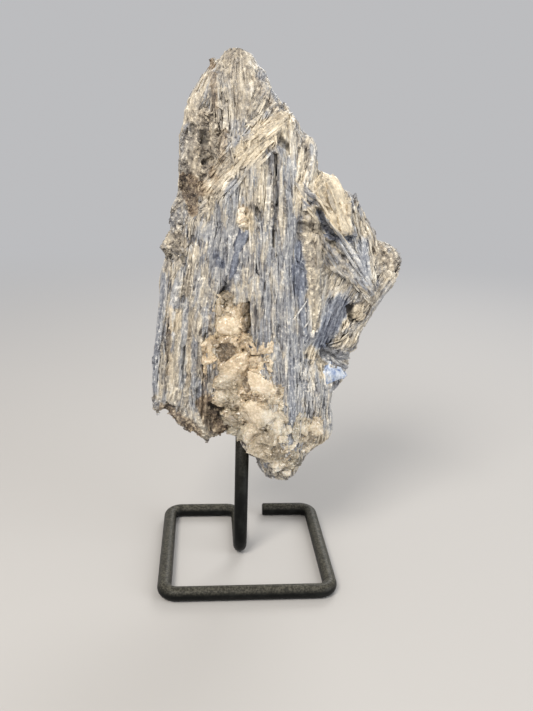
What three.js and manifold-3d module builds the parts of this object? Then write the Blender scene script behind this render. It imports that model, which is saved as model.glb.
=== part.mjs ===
// A kyanite blade cluster on a bent steel rod stand.
// Millimetres, +Z up, the broad face of the crystal towards -Y.
// The origin is on the ground, under the middle of the whole object's box.
import * as THREE from "three";
import { mergeVertices } from "three/addons/utils/BufferGeometryUtils.js";
import Module from "manifold-3d";

const wasm = await Module();
wasm.setup();

// ---------------------------------------------------------------- sizes

// The stand: one rod bent into a square foot, then in to the middle and up.
const ROD_RADIUS = 3;
const ROD_SIDES = 16;
const BEND_RADIUS = 5.5; // to the rod's centre line
const BEND_STEPS = 6;
const FOOT_SIZE = 70; // the square, between centre lines
const FOOT_X = -11; // the middle of the square
const POST_X = FOOT_X - 2;
const POST_Y = -2;
const POST_TOP = 86;
const FREE_END_X = FOOT_X + 11; // where the rod starts, on the back bar

// The crystal: a slab of blades, its outline drawn as seen from the front.
const MIDDLE = new THREE.Vector2(-6, 130); // every outline point is in sight of it
const CELLS = 34; // grid cells along each side of the slab's face
const RIM_CELLS = 3; // grid cells through the slab's edge
const FRONT_DEPTH = 13;
const BACK_DEPTH = 12.5;
const EDGE_DEPTH = 6.5; // half the slab's thickness at its broken edge
const SHOULDER = 0.62; // how far out the face stays at its full depth
const HOLE_GAP = 0.35; // the drilled hole's clearance round the post and over it
const HOLE_SIDES = 24;

// Four stretches of the outline, clockwise, each ending where the next starts:
// the tip, the right wing, the bottom lobe and the lower left foot are its corners.
const OUTLINE = [
  [
    [-18, 216.5], [-12.5, 214], [-10, 210], [-7, 208.5], [-4.5, 202.5], [-2, 199.5], [1.5, 196],
    [3, 193], [7.5, 187], [11.5, 184.5], [13.5, 180], [13.5, 174], [15, 170.5], [22, 167],
    [26, 163], [27.5, 163.5], [31.5, 159], [35, 156], [38, 151], [40.5, 148.5], [41, 144.5],
    [45, 143], [48, 142.5], [51.5, 139],
  ],
  [
    [52.2, 136], [51.5, 132.5], [44, 119.5], [39, 110.5], [36.5, 105], [35.5, 99.5], [33, 97],
    [32.5, 90], [30.5, 85.5], [26, 81], [25, 76.5], [26.5, 69.5], [27, 62.5], [25, 57.5],
    [19.5, 54.5], [15.5, 50.5], [13, 46], [11, 41.5],
  ],
  [
    [7, 38.5], [1.5, 39.5], [-3, 41.5], [-7, 48], [-10.5, 52], [-13.5, 56.5], [-15, 60], [-19, 62],
    [-22.5, 61], [-28.5, 57.5], [-36, 62], [-40, 64.5], [-44, 68.5], [-46.5, 72.5],
  ],
  [
    [-49.5, 70.5], [-52, 73], [-52.2, 84], [-51.5, 97], [-50, 108.5], [-48.5, 123], [-47, 133],
    [-45, 138], [-47, 141.5], [-43, 148], [-43.5, 156], [-40.5, 161.5], [-40.5, 170], [-40, 184],
    [-38, 194], [-35.5, 200], [-31.5, 206], [-28, 210], [-27.5, 212], [-26, 210.5], [-22.5, 215],
  ],
];

// ---------------------------------------------------------------- the stand

// A rod's centre line of straight runs and quarter bends. It takes a run in one
// step and a bend in a few, so that the sweep has no rings where it is straight.
class BentRod extends THREE.Curve {
  constructor(start, direction) {
    super();
    this.end = start.clone();
    this.heading = direction.clone();
    this.pieces = [];
    this.steps = 0;
  }

  addPiece(steps, pointAt, headingAt) {
    this.pieces.push({ first: this.steps, steps, pointAt, headingAt });
    this.steps += steps;
    this.end = pointAt(1);
    this.heading = headingAt(1);
    return this;
  }

  run(length) {
    const from = this.end.clone();
    const heading = this.heading.clone();
    return this.addPiece(
      1,
      (t) => from.clone().addScaledVector(heading, length * t),
      () => heading.clone(),
    );
  }

  // Turns through a right angle into the new direction.
  bend(into) {
    const from = this.end.clone();
    const heading = this.heading.clone();
    const pointAt = (t) =>
      from
        .clone()
        .addScaledVector(heading, BEND_RADIUS * Math.sin((t * Math.PI) / 2))
        .addScaledVector(into, BEND_RADIUS * (1 - Math.cos((t * Math.PI) / 2)));
    const headingAt = (t) =>
      heading
        .clone()
        .multiplyScalar(Math.cos((t * Math.PI) / 2))
        .addScaledVector(into, Math.sin((t * Math.PI) / 2));
    return this.addPiece(BEND_STEPS, pointAt, headingAt);
  }

  pieceAt(t) {
    const step = t * this.steps;
    const piece = this.pieces.find((p) => step <= p.first + p.steps + 1e-9);
    return [piece, (step - piece.first) / piece.steps];
  }

  getPoint(t) {
    const [piece, share] = this.pieceAt(t);
    return piece.pointAt(share);
  }

  getTangent(t) {
    const [piece, share] = this.pieceAt(t);
    return piece.headingAt(share);
  }

  getUtoTmapping(u) {
    return u;
  }
}

function makeStand() {
  const right = new THREE.Vector3(1, 0, 0);
  const back = new THREE.Vector3(0, 1, 0);
  const up = new THREE.Vector3(0, 0, 1);
  const left = right.clone().negate();
  const forward = back.clone().negate();
  const half = FOOT_SIZE / 2;
  const side = FOOT_SIZE - 2 * BEND_RADIUS;
  const start = new THREE.Vector3(FREE_END_X, half, ROD_RADIUS);
  const rod = new BentRod(start, right)
    .run(FOOT_X + half - BEND_RADIUS - FREE_END_X)
    .bend(forward)
    .run(side)
    .bend(left)
    .run(side)
    .bend(back)
    .run(side)
    .bend(right)
    .run(POST_X - (FOOT_X - half) - 2 * BEND_RADIUS)
    .bend(forward)
    .run(half - POST_Y - 2 * BEND_RADIUS)
    .bend(up)
    .run(POST_TOP - ROD_RADIUS - BEND_RADIUS);

  // Flats face down and sideways, so the foot rests on flats.
  const circumradius = ROD_RADIUS / Math.cos(Math.PI / ROD_SIDES);
  const corners = [];
  for (let i = 0; i < ROD_SIDES; i++) {
    const angle = ((i + 0.5) * 2 * Math.PI) / ROD_SIDES;
    corners.push(new THREE.Vector2(Math.cos(angle), Math.sin(angle)).multiplyScalar(circumradius));
  }
  return new THREE.ExtrudeGeometry(new THREE.Shape(corners), {
    steps: rod.steps,
    extrudePath: rod,
  });
}

// ---------------------------------------------------------------- the crystal

// Splits the longest edges of a stretch of outline until it has CELLS of them.
function splitEvenly(points) {
  const edges = points.slice(1).map((to, i) => ({ from: points[i], to, parts: 1 }));
  const partLength = (edge) => edge.from.distanceTo(edge.to) / edge.parts;
  for (let count = edges.length; count < CELLS; count++)
    edges.reduce((a, b) => (partLength(b) > partLength(a) ? b : a)).parts++;
  return edges.flatMap((edge) =>
    Array.from({ length: edge.parts }, (_, i) =>
      edge.from.clone().lerp(edge.to, i / edge.parts),
    ),
  );
}

function makeRim() {
  return OUTLINE.flatMap((stretch, i) => {
    const next = OUTLINE[(i + 1) % OUTLINE.length][0];
    return splitEvenly([...stretch, next].map(([x, z]) => new THREE.Vector2(x, z)));
  });
}

const smoothStep = THREE.MathUtils.smoothstep;

// A raised or sunk ridge along a line, fading out to its sides and ends.
function ridge(point, [x0, z0], [x1, z1], halfWidth, height) {
  const line = new THREE.Line3(new THREE.Vector3(x0, 0, z0), new THREE.Vector3(x1, 0, z1));
  const at = new THREE.Vector3(point.x, 0, point.y);
  const nearest = line.closestPointToPoint(at, true, new THREE.Vector3());
  return height * (1 - smoothStep(nearest.distanceTo(at), 0.35 * halfWidth, halfWidth));
}

// Parallel blades: low ridges that run up the slab and lean a little.
function blades(point, lean, phase) {
  const across = point.x + lean * (point.y - MIDDLE.y);
  return (
    0.9 * Math.sin(across / 1.9 + phase) +
    0.7 * Math.sin(across / 1.17 + 2 * phase + 0.9 * Math.sin(point.y / 23))
  );
}

// How far the front face stands out from the middle layer at a point, towards -Y.
function frontDepth(point) {
  const leftStep = 3 * (1 - smoothStep(point.x + (point.y - 110) * 0.02, -38, -30));
  const rightStep = 3 * smoothStep(point.x + (point.y - 110) * 0.05, 12, 22);
  return (
    FRONT_DEPTH -
    leftStep -
    rightStep +
    blades(point, 0.06, 0.4) +
    ridge(point, [-14, 178], [2, 62], 18, 3.5) + // the main bundle of blades
    ridge(point, [-24, 160], [-3, 186], 9, 1.2) + // a bundle that crosses its top
    ridge(point, [17, 162], [39, 118], 8, 3) + // the blade across the right wing
    ridge(point, [-17, 104], [-2, 66], 13, 2) + // the knot of quartz
    ridge(point, [-33, 190], [-31, 172], 11, -3) + // the hollow at the upper left
    ridge(point, [18, 99], [27, 92], 10, -3) + // the hollow under the right wing
    ridge(point, [-25, 70], [-18, 66], 8, -2.5) // the rusty pocket at the bottom
  );
}

// How far the back face stands out from the middle layer, towards +Y.
function backDepth(point) {
  return (
    BACK_DEPTH +
    blades(point, -0.05, 2.1) +
    ridge(point, [-20, 175], [-12, 75], 16, 3) +
    ridge(point, [6, 150], [22, 90], 12, 2) +
    ridge(point, [-2, 190], [4, 60], 7, -2) -
    2 * smoothStep(point.x, 22, 40) -
    2 * (1 - smoothStep(point.x, -44, -36))
  );
}

// The slab isn't flat: its right wing and its left side lie further back.
function middleLayer(point) {
  return 5 * smoothStep(point.x, 8, 44) + 1.5 * (1 - smoothStep(point.x, -46, -30));
}

// Half the slab's thickness at its edge, which is thinner towards the tip.
function edgeDepth(point) {
  const uneven = 1 + 0.25 * Math.sin(point.x / 9) * Math.cos(point.y / 13);
  return EDGE_DEPTH * uneven * (1 - 0.45 * smoothStep(point.y, 175, 215));
}

// A subdivided box, its face pulled out to the outline and its depth to the relief.
function makeSlab() {
  const rim = makeRim();
  const geometry = new THREE.BoxGeometry(2, 2, 2, CELLS, RIM_CELLS, CELLS);
  const position = geometry.getAttribute("position");
  const v = new THREE.Vector3();
  for (let i = 0; i < position.count; i++) {
    v.fromBufferAttribute(position, i);
    const share = Math.max(Math.abs(v.x), Math.abs(v.z)); // 0 at the middle, 1 at the rim
    const point = MIDDLE.clone();
    if (share > 1e-6) point.lerp(rim[rimIndex(v.x / share, v.z / share)], share);
    const full = v.y < 0 ? frontDepth(point) : backDepth(point);
    const fall = Math.max(0, (share - SHOULDER) / (1 - SHOULDER));
    const depth = THREE.MathUtils.lerp(edgeDepth(point), full, Math.sqrt(1 - fall ** 2.2));
    position.setXYZ(i, point.x, middleLayer(point) + v.y * depth, point.y);
  }
  return geometry;
}

// The rim point for a place on the unit square's edge: the outline starts at the
// square's upper left corner and goes round clockwise.
function rimIndex(x, z) {
  const near = (a, b) => Math.abs(a - b) < 1e-6;
  const steps = (length) => Math.round((length / 2) * CELLS);
  if (near(z, 1)) return steps(x + 1) % (4 * CELLS);
  if (near(x, 1)) return CELLS + steps(1 - z);
  if (near(z, -1)) return 2 * CELLS + steps(1 - x);
  return (3 * CELLS + steps(z + 1)) % (4 * CELLS);
}

function toSolid(geometry) {
  const bare = geometry.clone().deleteAttribute("normal").deleteAttribute("uv");
  const merged = mergeVertices(bare, 1e-4);
  return new wasm.Manifold(
    new wasm.Mesh({
      numProp: 3,
      vertProperties: merged.getAttribute("position").array,
      triVerts: new Uint32Array(merged.index.array),
    }),
  );
}

function toGeometry(solid) {
  const mesh = solid.getMesh();
  return new THREE.BufferGeometry()
    .setAttribute("position", new THREE.BufferAttribute(mesh.vertProperties, 3))
    .setIndex(new THREE.BufferAttribute(mesh.triVerts, 1));
}

function makeCluster() {
  const radius = ROD_RADIUS + HOLE_GAP;
  const holeTop = POST_TOP + HOLE_GAP;
  const drill = new THREE.CylinderGeometry(radius, radius, holeTop, HOLE_SIDES)
    .rotateX(Math.PI / 2)
    .translate(POST_X, POST_Y, holeTop / 2);
  return toGeometry(toSolid(makeSlab()).subtract(toSolid(drill)));
}

// ---------------------------------------------------------------- the object

const BLACK_STEEL = new THREE.MeshStandardMaterial({
  color: 0x1b1a18,
  roughness: 0.55,
  metalness: 0.6,
});
const KYANITE = new THREE.MeshStandardMaterial({
  color: 0x9b9a9c,
  roughness: 0.6,
  metalness: 0,
});

function named(name, geometry, material) {
  const mesh = new THREE.Mesh(geometry, material);
  mesh.name = name;
  return mesh;
}

const object = new THREE.Group();
object.add(named("rod_stand", makeStand(), BLACK_STEEL));
object.add(named("kyanite_cluster", makeCluster(), KYANITE));

export default object;
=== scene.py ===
import math

import bmesh
import bpy
import numpy as np
from bpy.props import FloatProperty, FloatVectorProperty, IntProperty, PointerProperty
from mathutils import Euler, Matrix, Vector
from mathutils.bvhtree import BVHTree


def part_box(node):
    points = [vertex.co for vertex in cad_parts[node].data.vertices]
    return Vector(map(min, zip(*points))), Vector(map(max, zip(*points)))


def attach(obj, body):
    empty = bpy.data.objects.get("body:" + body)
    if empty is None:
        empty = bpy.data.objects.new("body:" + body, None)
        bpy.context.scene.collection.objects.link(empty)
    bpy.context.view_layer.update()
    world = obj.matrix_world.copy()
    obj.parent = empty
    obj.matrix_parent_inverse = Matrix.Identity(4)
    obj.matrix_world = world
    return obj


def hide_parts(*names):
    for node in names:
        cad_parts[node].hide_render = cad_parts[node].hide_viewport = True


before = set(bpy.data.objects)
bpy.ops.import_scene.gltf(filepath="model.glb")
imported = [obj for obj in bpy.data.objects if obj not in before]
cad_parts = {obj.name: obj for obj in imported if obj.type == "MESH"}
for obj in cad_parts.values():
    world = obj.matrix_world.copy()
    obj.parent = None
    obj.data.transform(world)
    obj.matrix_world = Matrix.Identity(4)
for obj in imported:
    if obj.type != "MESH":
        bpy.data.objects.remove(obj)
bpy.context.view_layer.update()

bl_info = {
    "name": "Kyanite on a rod stand",
    "version": (1, 0, 0),
    "blender": (4, 5, 0),
    "location": "View3D > Sidebar > Kyanite",
    "description": "Builds a kyanite blade cluster with quartz on its black rod stand",
    "category": "Add Mesh",
}

CRYSTAL = "kyanite_cluster"
STAND = "rod_stand"
MM = 0.001

# ------------------------------------------------------------------ the crystal's layout
#
# All layout is in millimetres, as (x, z) on the broad face. The front is the -Y face.
# A zone is a stretch of one growth direction, which runs from its first point to its
# second, and reaches its half-width to each side: name, from, to, half-width,
# height over the slab, blade width, blade length, habit.

BLADES = "blades"
PLATE = "plate"
GRAINS = "grains"
QUARTZ = "quartz"

FRONT_ZONES = [
    ("tip", (-19, 213), (-17.5, 194), 9, 0.0, 1.0, 20, BLADES),
    ("tip_left", (-29, 206), (-36.5, 191), 5, -0.4, 1.0, 12, BLADES),
    ("tip_right", (-12, 192), (-4, 206), 7, -0.2, 1.0, 10, BLADES),
    ("pitted", (-31.4, 191), (-36, 163), 6.6, -0.2, 0.9, 8, GRAINS),
    ("cross_upper", (-18, 175), (2.5, 192), 6, 0.9, 1.2, 20, BLADES),
    ("cross_lower", (-30, 161), (-9, 183), 6, 0.4, 1.2, 20, BLADES),
    ("upper_right", (10, 184), (5, 160), 7, 0.2, 1.1, 18, BLADES),
    ("centre_left", (-16, 180), (-17.5, 122), 6, 0.4, 1.1, 16, BLADES),
    ("centre", (-8, 180), (-6.5, 106), 7, 0.8, 1.1, 30, BLADES),
    ("centre_right", (1, 187), (4.5, 102), 6, 0.5, 1.1, 30, BLADES),
    ("left_middle", (-23, 159), (-30, 110), 7, 0.2, 1.3, 15, BLADES),
    ("left", (-34, 139), (-43.5, 80), 7, 0.0, 1.1, 14, BLADES),
    ("far_left", (-46, 132), (-50, 80), 3.5, -0.6, 1.1, 16, BLADES),
    ("lump", (-44, 146), (-41.5, 141), 4, 0.9, 1.0, 6, GRAINS),
    ("lower_left", (-29.5, 110), (-30, 69), 6, 0.1, 1.0, 13, BLADES),
    ("crust", (-47, 75), (-30, 64), 4.5, -0.5, 1.0, 6, GRAINS),
    ("iron", (-28, 77), (-22, 66), 6.5, -0.8, 1.0, 6, GRAINS),
    ("quartz", (-20.5, 122), (-5, 62), 10, -0.6, 1.0, 6, QUARTZ),
    ("low_centre", (-2, 104), (2, 49), 6, 0.2, 1.0, 22, BLADES),
    ("blue_streak", (5.5, 98), (7, 57), 2.5, 0.4, 0.9, 26, BLADES),
    ("blue_band", (6.5, 147), (12, 108), 4, 0.0, 3.0, 12, PLATE),
    ("cream_band", (11, 156), (14, 110), 5, 0.3, 2.4, 14, PLATE),
    ("pale_block", (18.6, 167.5), (23.6, 155), 7.0, 1.7, 3.6, 14, PLATE),
    ("ridge", (8, 163), (39, 126), 5, 1.3, 1.7, 30, BLADES),
    ("wing_outer", (33, 154), (39, 130), 6, 0.1, 1.2, 11, BLADES),
    ("nub", (42, 144), (43, 135), 6, 0.1, 1.0, 6, GRAINS),
    ("fan", (18.5, 102), (26, 121), 8, -0.4, 1.5, 18, BLADES),
    ("wavy", (23, 101.5), (32, 106), 4, -0.7, 0.7, 10, BLADES),
    ("heel", (19, 101), (31, 92), 4, -0.7, 1.0, 8, BLADES),
    ("wing_edge", (45, 131), (30, 102), 4, 0.2, 1.2, 10, BLADES),
    ("lobe", (17, 91), (17.5, 60), 9, 0.1, 1.0, 11, BLADES),
    ("bottom", (1, 54), (5, 45), 7, -0.2, 1.0, 8, BLADES),
]

BACK_ZONES = [
    ("back_tip", (-20, 212), (-18, 185), 11, 0.0, 1.1, 18, BLADES),
    ("back_main", (-19, 185), (-14, 70), 9, 0.8, 1.3, 30, BLADES),
    ("back_inner", (0, 190), (-2, 100), 8, -0.4, 1.1, 28, BLADES),
    ("back_side", (-36, 190), (-42, 120), 8, 0.0, 1.2, 26, BLADES),
    ("back_foot", (-40, 118), (-44, 72), 8, -0.3, 1.2, 20, BLADES),
    ("back_knot", (-28, 107), (-22, 88), 5.5, 0.3, 1.0, 6, QUARTZ),
    ("back_lobe", (6, 100), (8, 48), 10, 0.3, 1.1, 24, BLADES),
    ("back_cross", (-8, 150), (16, 176), 6, 1.0, 1.6, 22, BLADES),
    ("back_wing", (14, 158), (44, 138), 8, 0.4, 1.6, 22, BLADES),
    ("back_fan", (20, 90), (38, 124), 9, 0.0, 1.5, 20, BLADES),
    ("back_rough", (12, 136), (18, 118), 5, -0.5, 1.0, 6, GRAINS),
]

# What is cut in or stands out: from, to, half-width, height.
FRONT_CARVING = [
    ((-32, 187), (-31, 175), 4.0, -0.4),
    ((-30.9, 184.6), (-30.5, 182.6), 2.0, -2.0),
    ((-30.4, 177), (-30, 175.4), 1.8, -1.8),
    ((-34.7, 187), (-34.7, 185.5), 2.0, -1.6),
    ((-26, 188), (-25.4, 185.6), 1.6, -1.6),
    ((-39, 166), (-31, 160), 4.0, -1.8),
    ((-3, 185), (1.5, 180.5), 1.8, -1.5),
    ((-3.6, 178), (-2.8, 160), 1.1, -1.7),
    ((-2.9, 160), (-3.4, 145), 1.0, -1.4),
    ((-11.0, 158.6), (-8.8, 155.6), 1.4, -1.4),
    ((-9.4, 136.8), (-9.2, 135.4), 1.4, -1.3),
    ((-5.9, 129.6), (-5.3, 128), 0.9, -1.2),
    ((-41.6, 117.2), (-41.4, 116.6), 0.9, -1.0),
    ((-44, 108), (-45.4, 89), 0.9, -1.5),
    ((-29.6, 108), (-30.6, 71), 0.9, -1.4),
    ((-32.4, 104), (-33.2, 74), 0.7, -1.0),
    ((-38.0, 101), (-38.8, 86), 0.7, -1.1),
    ((-35.2, 118), (-35.8, 106), 0.7, -0.9),
    ((-21.8, 121), (-21.2, 118), 2.0, -0.8),
    ((-22.5, 105), (-18, 98), 5.5, -4.2),
    ((-13.4, 93.5), (-12.8, 88.5), 1.6, -2.2),
    ((-26, 76), (-23, 69), 4.6, -1.1),
    ((-26.4, 75.6), (-25.6, 74.6), 1.3, -1.5),
    ((-23.2, 72.4), (-22.6, 70.8), 1.3, -1.5),
    ((-20.8, 73.6), (-20.4, 70.6), 1.2, -1.4),
    ((-27.6, 70.2), (-27.0, 68.6), 1.2, -1.3),
    ((-24.6, 67.8), (-23.8, 66.8), 1.1, -1.2),
    ((7, 151.6), (17, 150.4), 2.2, -1.5),
    ((12, 160), (20, 146), 2.2, -1.9),
    ((20, 146), (25, 140), 2.4, -1.6),
    ((14.8, 157.5), (20.4, 148), 1.3, -1.5),
    ((21.5, 147.6), (28, 147), 1.2, -1.3),
    ((27.8, 160), (29.2, 148), 1.1, -1.0),
    ((18.5, 99), (24, 95.5), 2.8, -1.1),
    ((29.5, 118.5), (31.2, 112.5), 1.3, -1.8),
    ((33.8, 117), (34.2, 114.5), 3.2, 1.3),
    ((12.5, 59), (12.8, 58.2), 1.0, -1.2),
    ((6.6, 147), (6.6, 139), 2.2, -0.9),
    ((-48, 139), (-38, 137), 2.2, -1.6),
]

BACK_CARVING = [
    ((-8, 184), (-7.4, 160), 1.2, -1.4),
    ((-5.6, 158), (-6.4, 134), 1.0, -1.1),
    ((-31, 150), (-32, 124), 1.1, -1.2),
    ((-33.4, 120), (-34, 98), 1.0, -1.2),
    ((14, 136), (17, 124), 3.0, -1.2),
    ((-27, 104), (-24, 92), 3.0, -0.8),
    ((4, 120), (2, 84), 1.1, -2.0),
    ((-24, 196), (-25, 178), 1.4, -1.8),
]

# Broken from the rim, through the whole thickness.
RIM_BREAKS = [
    ((36, 89), (31, 79), 4.8, -5.0),
]

# Tints: which, from, to, half-width, strength.
CREAM = 0
BLUE = 1
RUST = 2
# SHADE darkens towards SHADE_COLOUR: painted shade in the carved cracks, pits and hollows, and an even
# darkening over the tip and the iron pocket.
SHADE = 3

FRONT_TINTS = [
    (CREAM, (-30, 206), (-37, 190), 2.4, 0.4),
    (CREAM, (-19, 212), (-14, 197), 9.0, 0.25),
    (RUST, (-20, 212), (-16, 197), 9.0, 0.38),
    (SHADE, (-20, 212), (-16, 197), 9.0, 0.2),
    (RUST, (-27, 206), (-26, 194), 1.6, 0.6),
    (RUST, (-28.6, 212), (-27.6, 209.5), 1.8, 0.9),
    (RUST, (-12, 205), (-2, 192), 2.6, 0.45),
    (CREAM, (-16, 178), (-2, 188), 4.4, 0.9),
    (CREAM, (-9, 187), (0, 191), 4.0, 0.85),
    (CREAM, (-29, 163), (-13, 181), 3.6, 0.5),
    (CREAM, (-9, 178), (-9, 160), 3.0, 0.45),
    (CREAM, (-26, 168), (-30, 150), 2.0, 0.4),
    (CREAM, (-15, 156), (-13.5, 152), 3.0, 0.9),
    (CREAM, (12, 156), (13.5, 112), 4.0, 0.6),
    (CREAM, (18.4, 168), (23.6, 153.5), 7.2, 1.3),
    (CREAM, (29, 160), (35, 150), 2.4, 0.25),
    (CREAM, (11, 157), (36, 126.5), 2.4, 0.3),
    (CREAM, (41, 142), (46, 132), 5.0, 0.35),
    (CREAM, (-45, 146), (-36, 142), 4.5, 0.4),
    (CREAM, (-41.5, 115), (-41.5, 110), 2.6, 0.75),
    (CREAM, (-43, 98), (-42.5, 88), 1.5, 0.45),
    (CREAM, (14, 100), (20, 90), 3.0, 0.7),
    (CREAM, (10, 68), (20, 60), 5.5, 0.7),
    (CREAM, (-34, 64), (-24, 60), 4.0, 0.4),
    (CREAM, (8, 178), (4, 158), 3.0, 0.4),
    (CREAM, (28, 112), (40, 122), 3.5, 0.5),
    (BLUE, (-17, 148), (-18, 132), 4.4, 0.35),
    (BLUE, (-28, 150), (-24, 132), 3.4, 0.4),
    (BLUE, (-25.5, 139.5), (-23.5, 137), 2.2, 0.8),
    (BLUE, (6.6, 144), (6.8, 140), 2.2, 0.75),
    (BLUE, (6.9, 136), (8.5, 127), 3.8, 0.75),
    (BLUE, (10, 122), (12, 106), 2.4, 0.6),
    (BLUE, (5.6, 98), (7, 58), 2.0, 0.6),
    (BLUE, (14.8, 157), (20.2, 147.6), 1.7, 1.0),
    (BLUE, (21.4, 147.4), (28, 146.8), 1.6, 0.8),
    (BLUE, (27.8, 160), (29.4, 148), 1.6, 0.6),
    (BLUE, (25.5, 144), (32, 132), 4.6, 0.4),
    (BLUE, (19, 104), (25.5, 119), 5.0, 0.75),
    (BLUE, (19, 97), (29, 96.5), 3.4, 0.5),
    (BLUE, (-39, 132), (-47, 100), 2.4, 0.4),
    (BLUE, (-49, 110), (-50.5, 82), 1.6, 0.6),
    (BLUE, (34, 144), (34.5, 130), 2.6, 0.6),
    (BLUE, (14, 90), (23, 66), 9.0, 0.42),
    (BLUE, (1, 140), (2, 92), 9.0, 0.26),
    (BLUE, (8, 104), (11, 64), 7.0, 0.34),
    (BLUE, (-24, 156), (-20, 132), 6.0, 0.2),
    (CREAM, (16, 90), (20, 64), 8.0, 0.3),
    (BLUE, (-46.5, 130), (-50, 92), 1.7, 0.6),
    (RUST, (-44, 118), (-44.6, 90), 1.4, 0.55),
    (CREAM, (-40.2, 114), (-42, 90), 1.0, 0.35),
    (BLUE, (-37.5, 122), (-39, 84), 1.7, 0.5),
    (RUST, (-35.5, 114), (-36.5, 84), 1.3, 0.5),
    (BLUE, (-33.6, 104), (-34.2, 76), 1.7, 0.5),
    (CREAM, (-31.6, 114), (-31.8, 92), 0.9, 0.3),
    (RUST, (-29.6, 98), (-30, 80), 1.3, 0.55),
    (RUST, (-36, 132), (-38, 120), 1.6, 0.35),
    (SHADE, (-32.4, 104), (-33.2, 74), 0.7, 0.5),
    (SHADE, (-38.0, 101), (-38.8, 86), 0.7, 0.6),
    (SHADE, (-35.2, 118), (-35.8, 106), 0.7, 0.45),
    (SHADE, (-46.4, 104), (-47.2, 88), 0.7, 0.4),
    (SHADE, (-41.0, 108), (-42.2, 92), 0.6, 0.4),
    (RUST, (-27.6, 116), (-28.0, 100), 1.2, 0.5),
    (RUST, (-44.6, 84), (-40.0, 70), 4.0, 0.2),
    (BLUE, (-31, 86), (-31, 75), 3.0, 0.5),
    (BLUE, (-20, 170), (-22, 120), 3.0, 0.3),
    (BLUE, (2, 176), (4, 140), 2.2, 0.35),
    (RUST, (-31, 190), (-32, 170), 7.5, 0.42),
    (CREAM, (-29, 192), (-26, 172), 5.0, 0.35),
    (CREAM, (-33, 178), (-33, 168), 3.0, 0.4),
    (RUST, (-39, 167), (-32, 165), 3.8, 0.95),
    (RUST, (-36, 162), (-34, 157), 3.0, 0.8),
    (RUST, (-33, 165), (-27, 164), 1.8, 0.6),
    (RUST, (-16, 159), (-14.5, 158), 1.6, 0.8),
    (RUST, (-27, 172), (-26, 169.5), 1.8, 0.9),
    (RUST, (-23, 186), (-24, 176), 2.2, 0.6),
    (RUST, (40, 144), (47, 136), 5.5, 0.45),
    (RUST, (-46, 148), (-42, 139), 3.0, 0.35),
    (RUST, (-28.5, 77), (-22, 66), 5.6, 0.95),
    (RUST, (-46, 74), (-32, 63), 3.0, 0.65),
    (SHADE, (-27.5, 76), (-22.5, 66), 5.0, 0.16),
    (SHADE, (-21.5, 73), (-20.5, 69), 1.8, 0.8),
    (SHADE, (-28.5, 70), (-27.5, 66.5), 1.5, 0.7),
    (CREAM, (-27, 72), (-24, 66), 2.0, 0.4),
    (RUST, (-33, 104), (-33.5, 90), 2.4, 0.35),
    (SHADE, (-30.9, 184.6), (-30.5, 182.6), 1.8, 0.8),
    (SHADE, (-30.4, 177), (-30, 175.4), 1.5, 0.7),
    (SHADE, (-34.7, 187), (-34.7, 185.5), 1.6, 0.7),
    (SHADE, (-39, 166), (-34, 161), 3.4, 0.5),
    (SHADE, (-32, 186), (-31, 174), 5.0, 0.08),
    (SHADE, (-24.2, 184), (-24.6, 181), 1.1, 0.5),
    (SHADE, (-35.6, 179), (-35.2, 176), 1.2, 0.45),
    (SHADE, (-27.4, 179), (-27.0, 177), 0.9, 0.5),
    (SHADE, (-2.2, 184.5), (1.0, 181), 1.3, 0.6),
    (SHADE, (-3.6, 178), (-2.8, 160), 1.0, 0.6),
    (SHADE, (-2.9, 160), (-3.4, 145), 0.9, 0.5),
    (SHADE, (-11.0, 158.6), (-8.8, 155.6), 1.2, 0.55),
    (SHADE, (-44, 108), (-45.4, 89), 0.8, 0.55),
    (SHADE, (-26.4, 75.6), (-25.6, 74.6), 1.3, 0.9),
    (SHADE, (-23.2, 72.4), (-22.6, 70.8), 1.3, 0.9),
    (SHADE, (7, 151.6), (17, 150.4), 1.6, 0.6),
    (SHADE, (14.6, 158), (20.4, 147.8), 1.1, 0.7),
    (SHADE, (20.4, 146), (26, 140), 1.1, 0.5),
    (SHADE, (23.6, 148), (28, 147.2), 0.9, 0.7),
    (SHADE, (28, 158), (29.2, 149), 0.8, 0.4),
    (SHADE, (18.5, 97), (22, 99), 2.4, 0.6),
    (SHADE, (25, 97.5), (31, 96), 2.4, 0.4),
    (CREAM, (24, 105), (33, 103), 2.4, 0.5),
    (CREAM, (33.8, 117), (34.2, 114.5), 3.0, 0.8),
    (CREAM, (26, 118), (28, 114), 3.0, 0.4),
    (SHADE, (29.5, 118.5), (31.2, 112.5), 1.1, 0.9),
    (SHADE, (12.5, 59), (12.8, 58.2), 0.9, 1.0),
]

BACK_TINTS = [
    (CREAM, (-22, 205), (-16, 192), 4.0, 0.5),
    (CREAM, (-16, 150), (-12, 110), 3.4, 0.5),
    (CREAM, (-6, 152), (14, 174), 4.0, 0.7),
    (CREAM, (20, 156), (42, 140), 3.0, 0.6),
    (CREAM, (-44, 110), (-46, 84), 2.4, 0.5),
    (CREAM, (6, 70), (10, 52), 4.0, 0.5),
    (BLUE, (-20, 178), (-20, 130), 4.5, 0.6),
    (BLUE, (2, 180), (0, 130), 3.0, 0.5),
    (BLUE, (24, 96), (34, 118), 5.0, 0.6),
    (BLUE, (4, 100), (6, 66), 3.4, 0.7),
    (BLUE, (-38, 150), (-40, 122), 3.4, 0.5),
    (RUST, (12, 138), (18, 120), 5.0, 0.35),
    (RUST, (-38, 184), (-40, 168), 3.5, 0.5),
    (CREAM, (-28, 110), (-20, 84), 6.0, 0.3),
    (SHADE, (-8, 184), (-7.4, 160), 1.0, 0.4),
    (SHADE, (-31, 150), (-32, 124), 1.0, 0.4),
    (SHADE, (4, 120), (2, 84), 1.0, 0.4),
]

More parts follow.
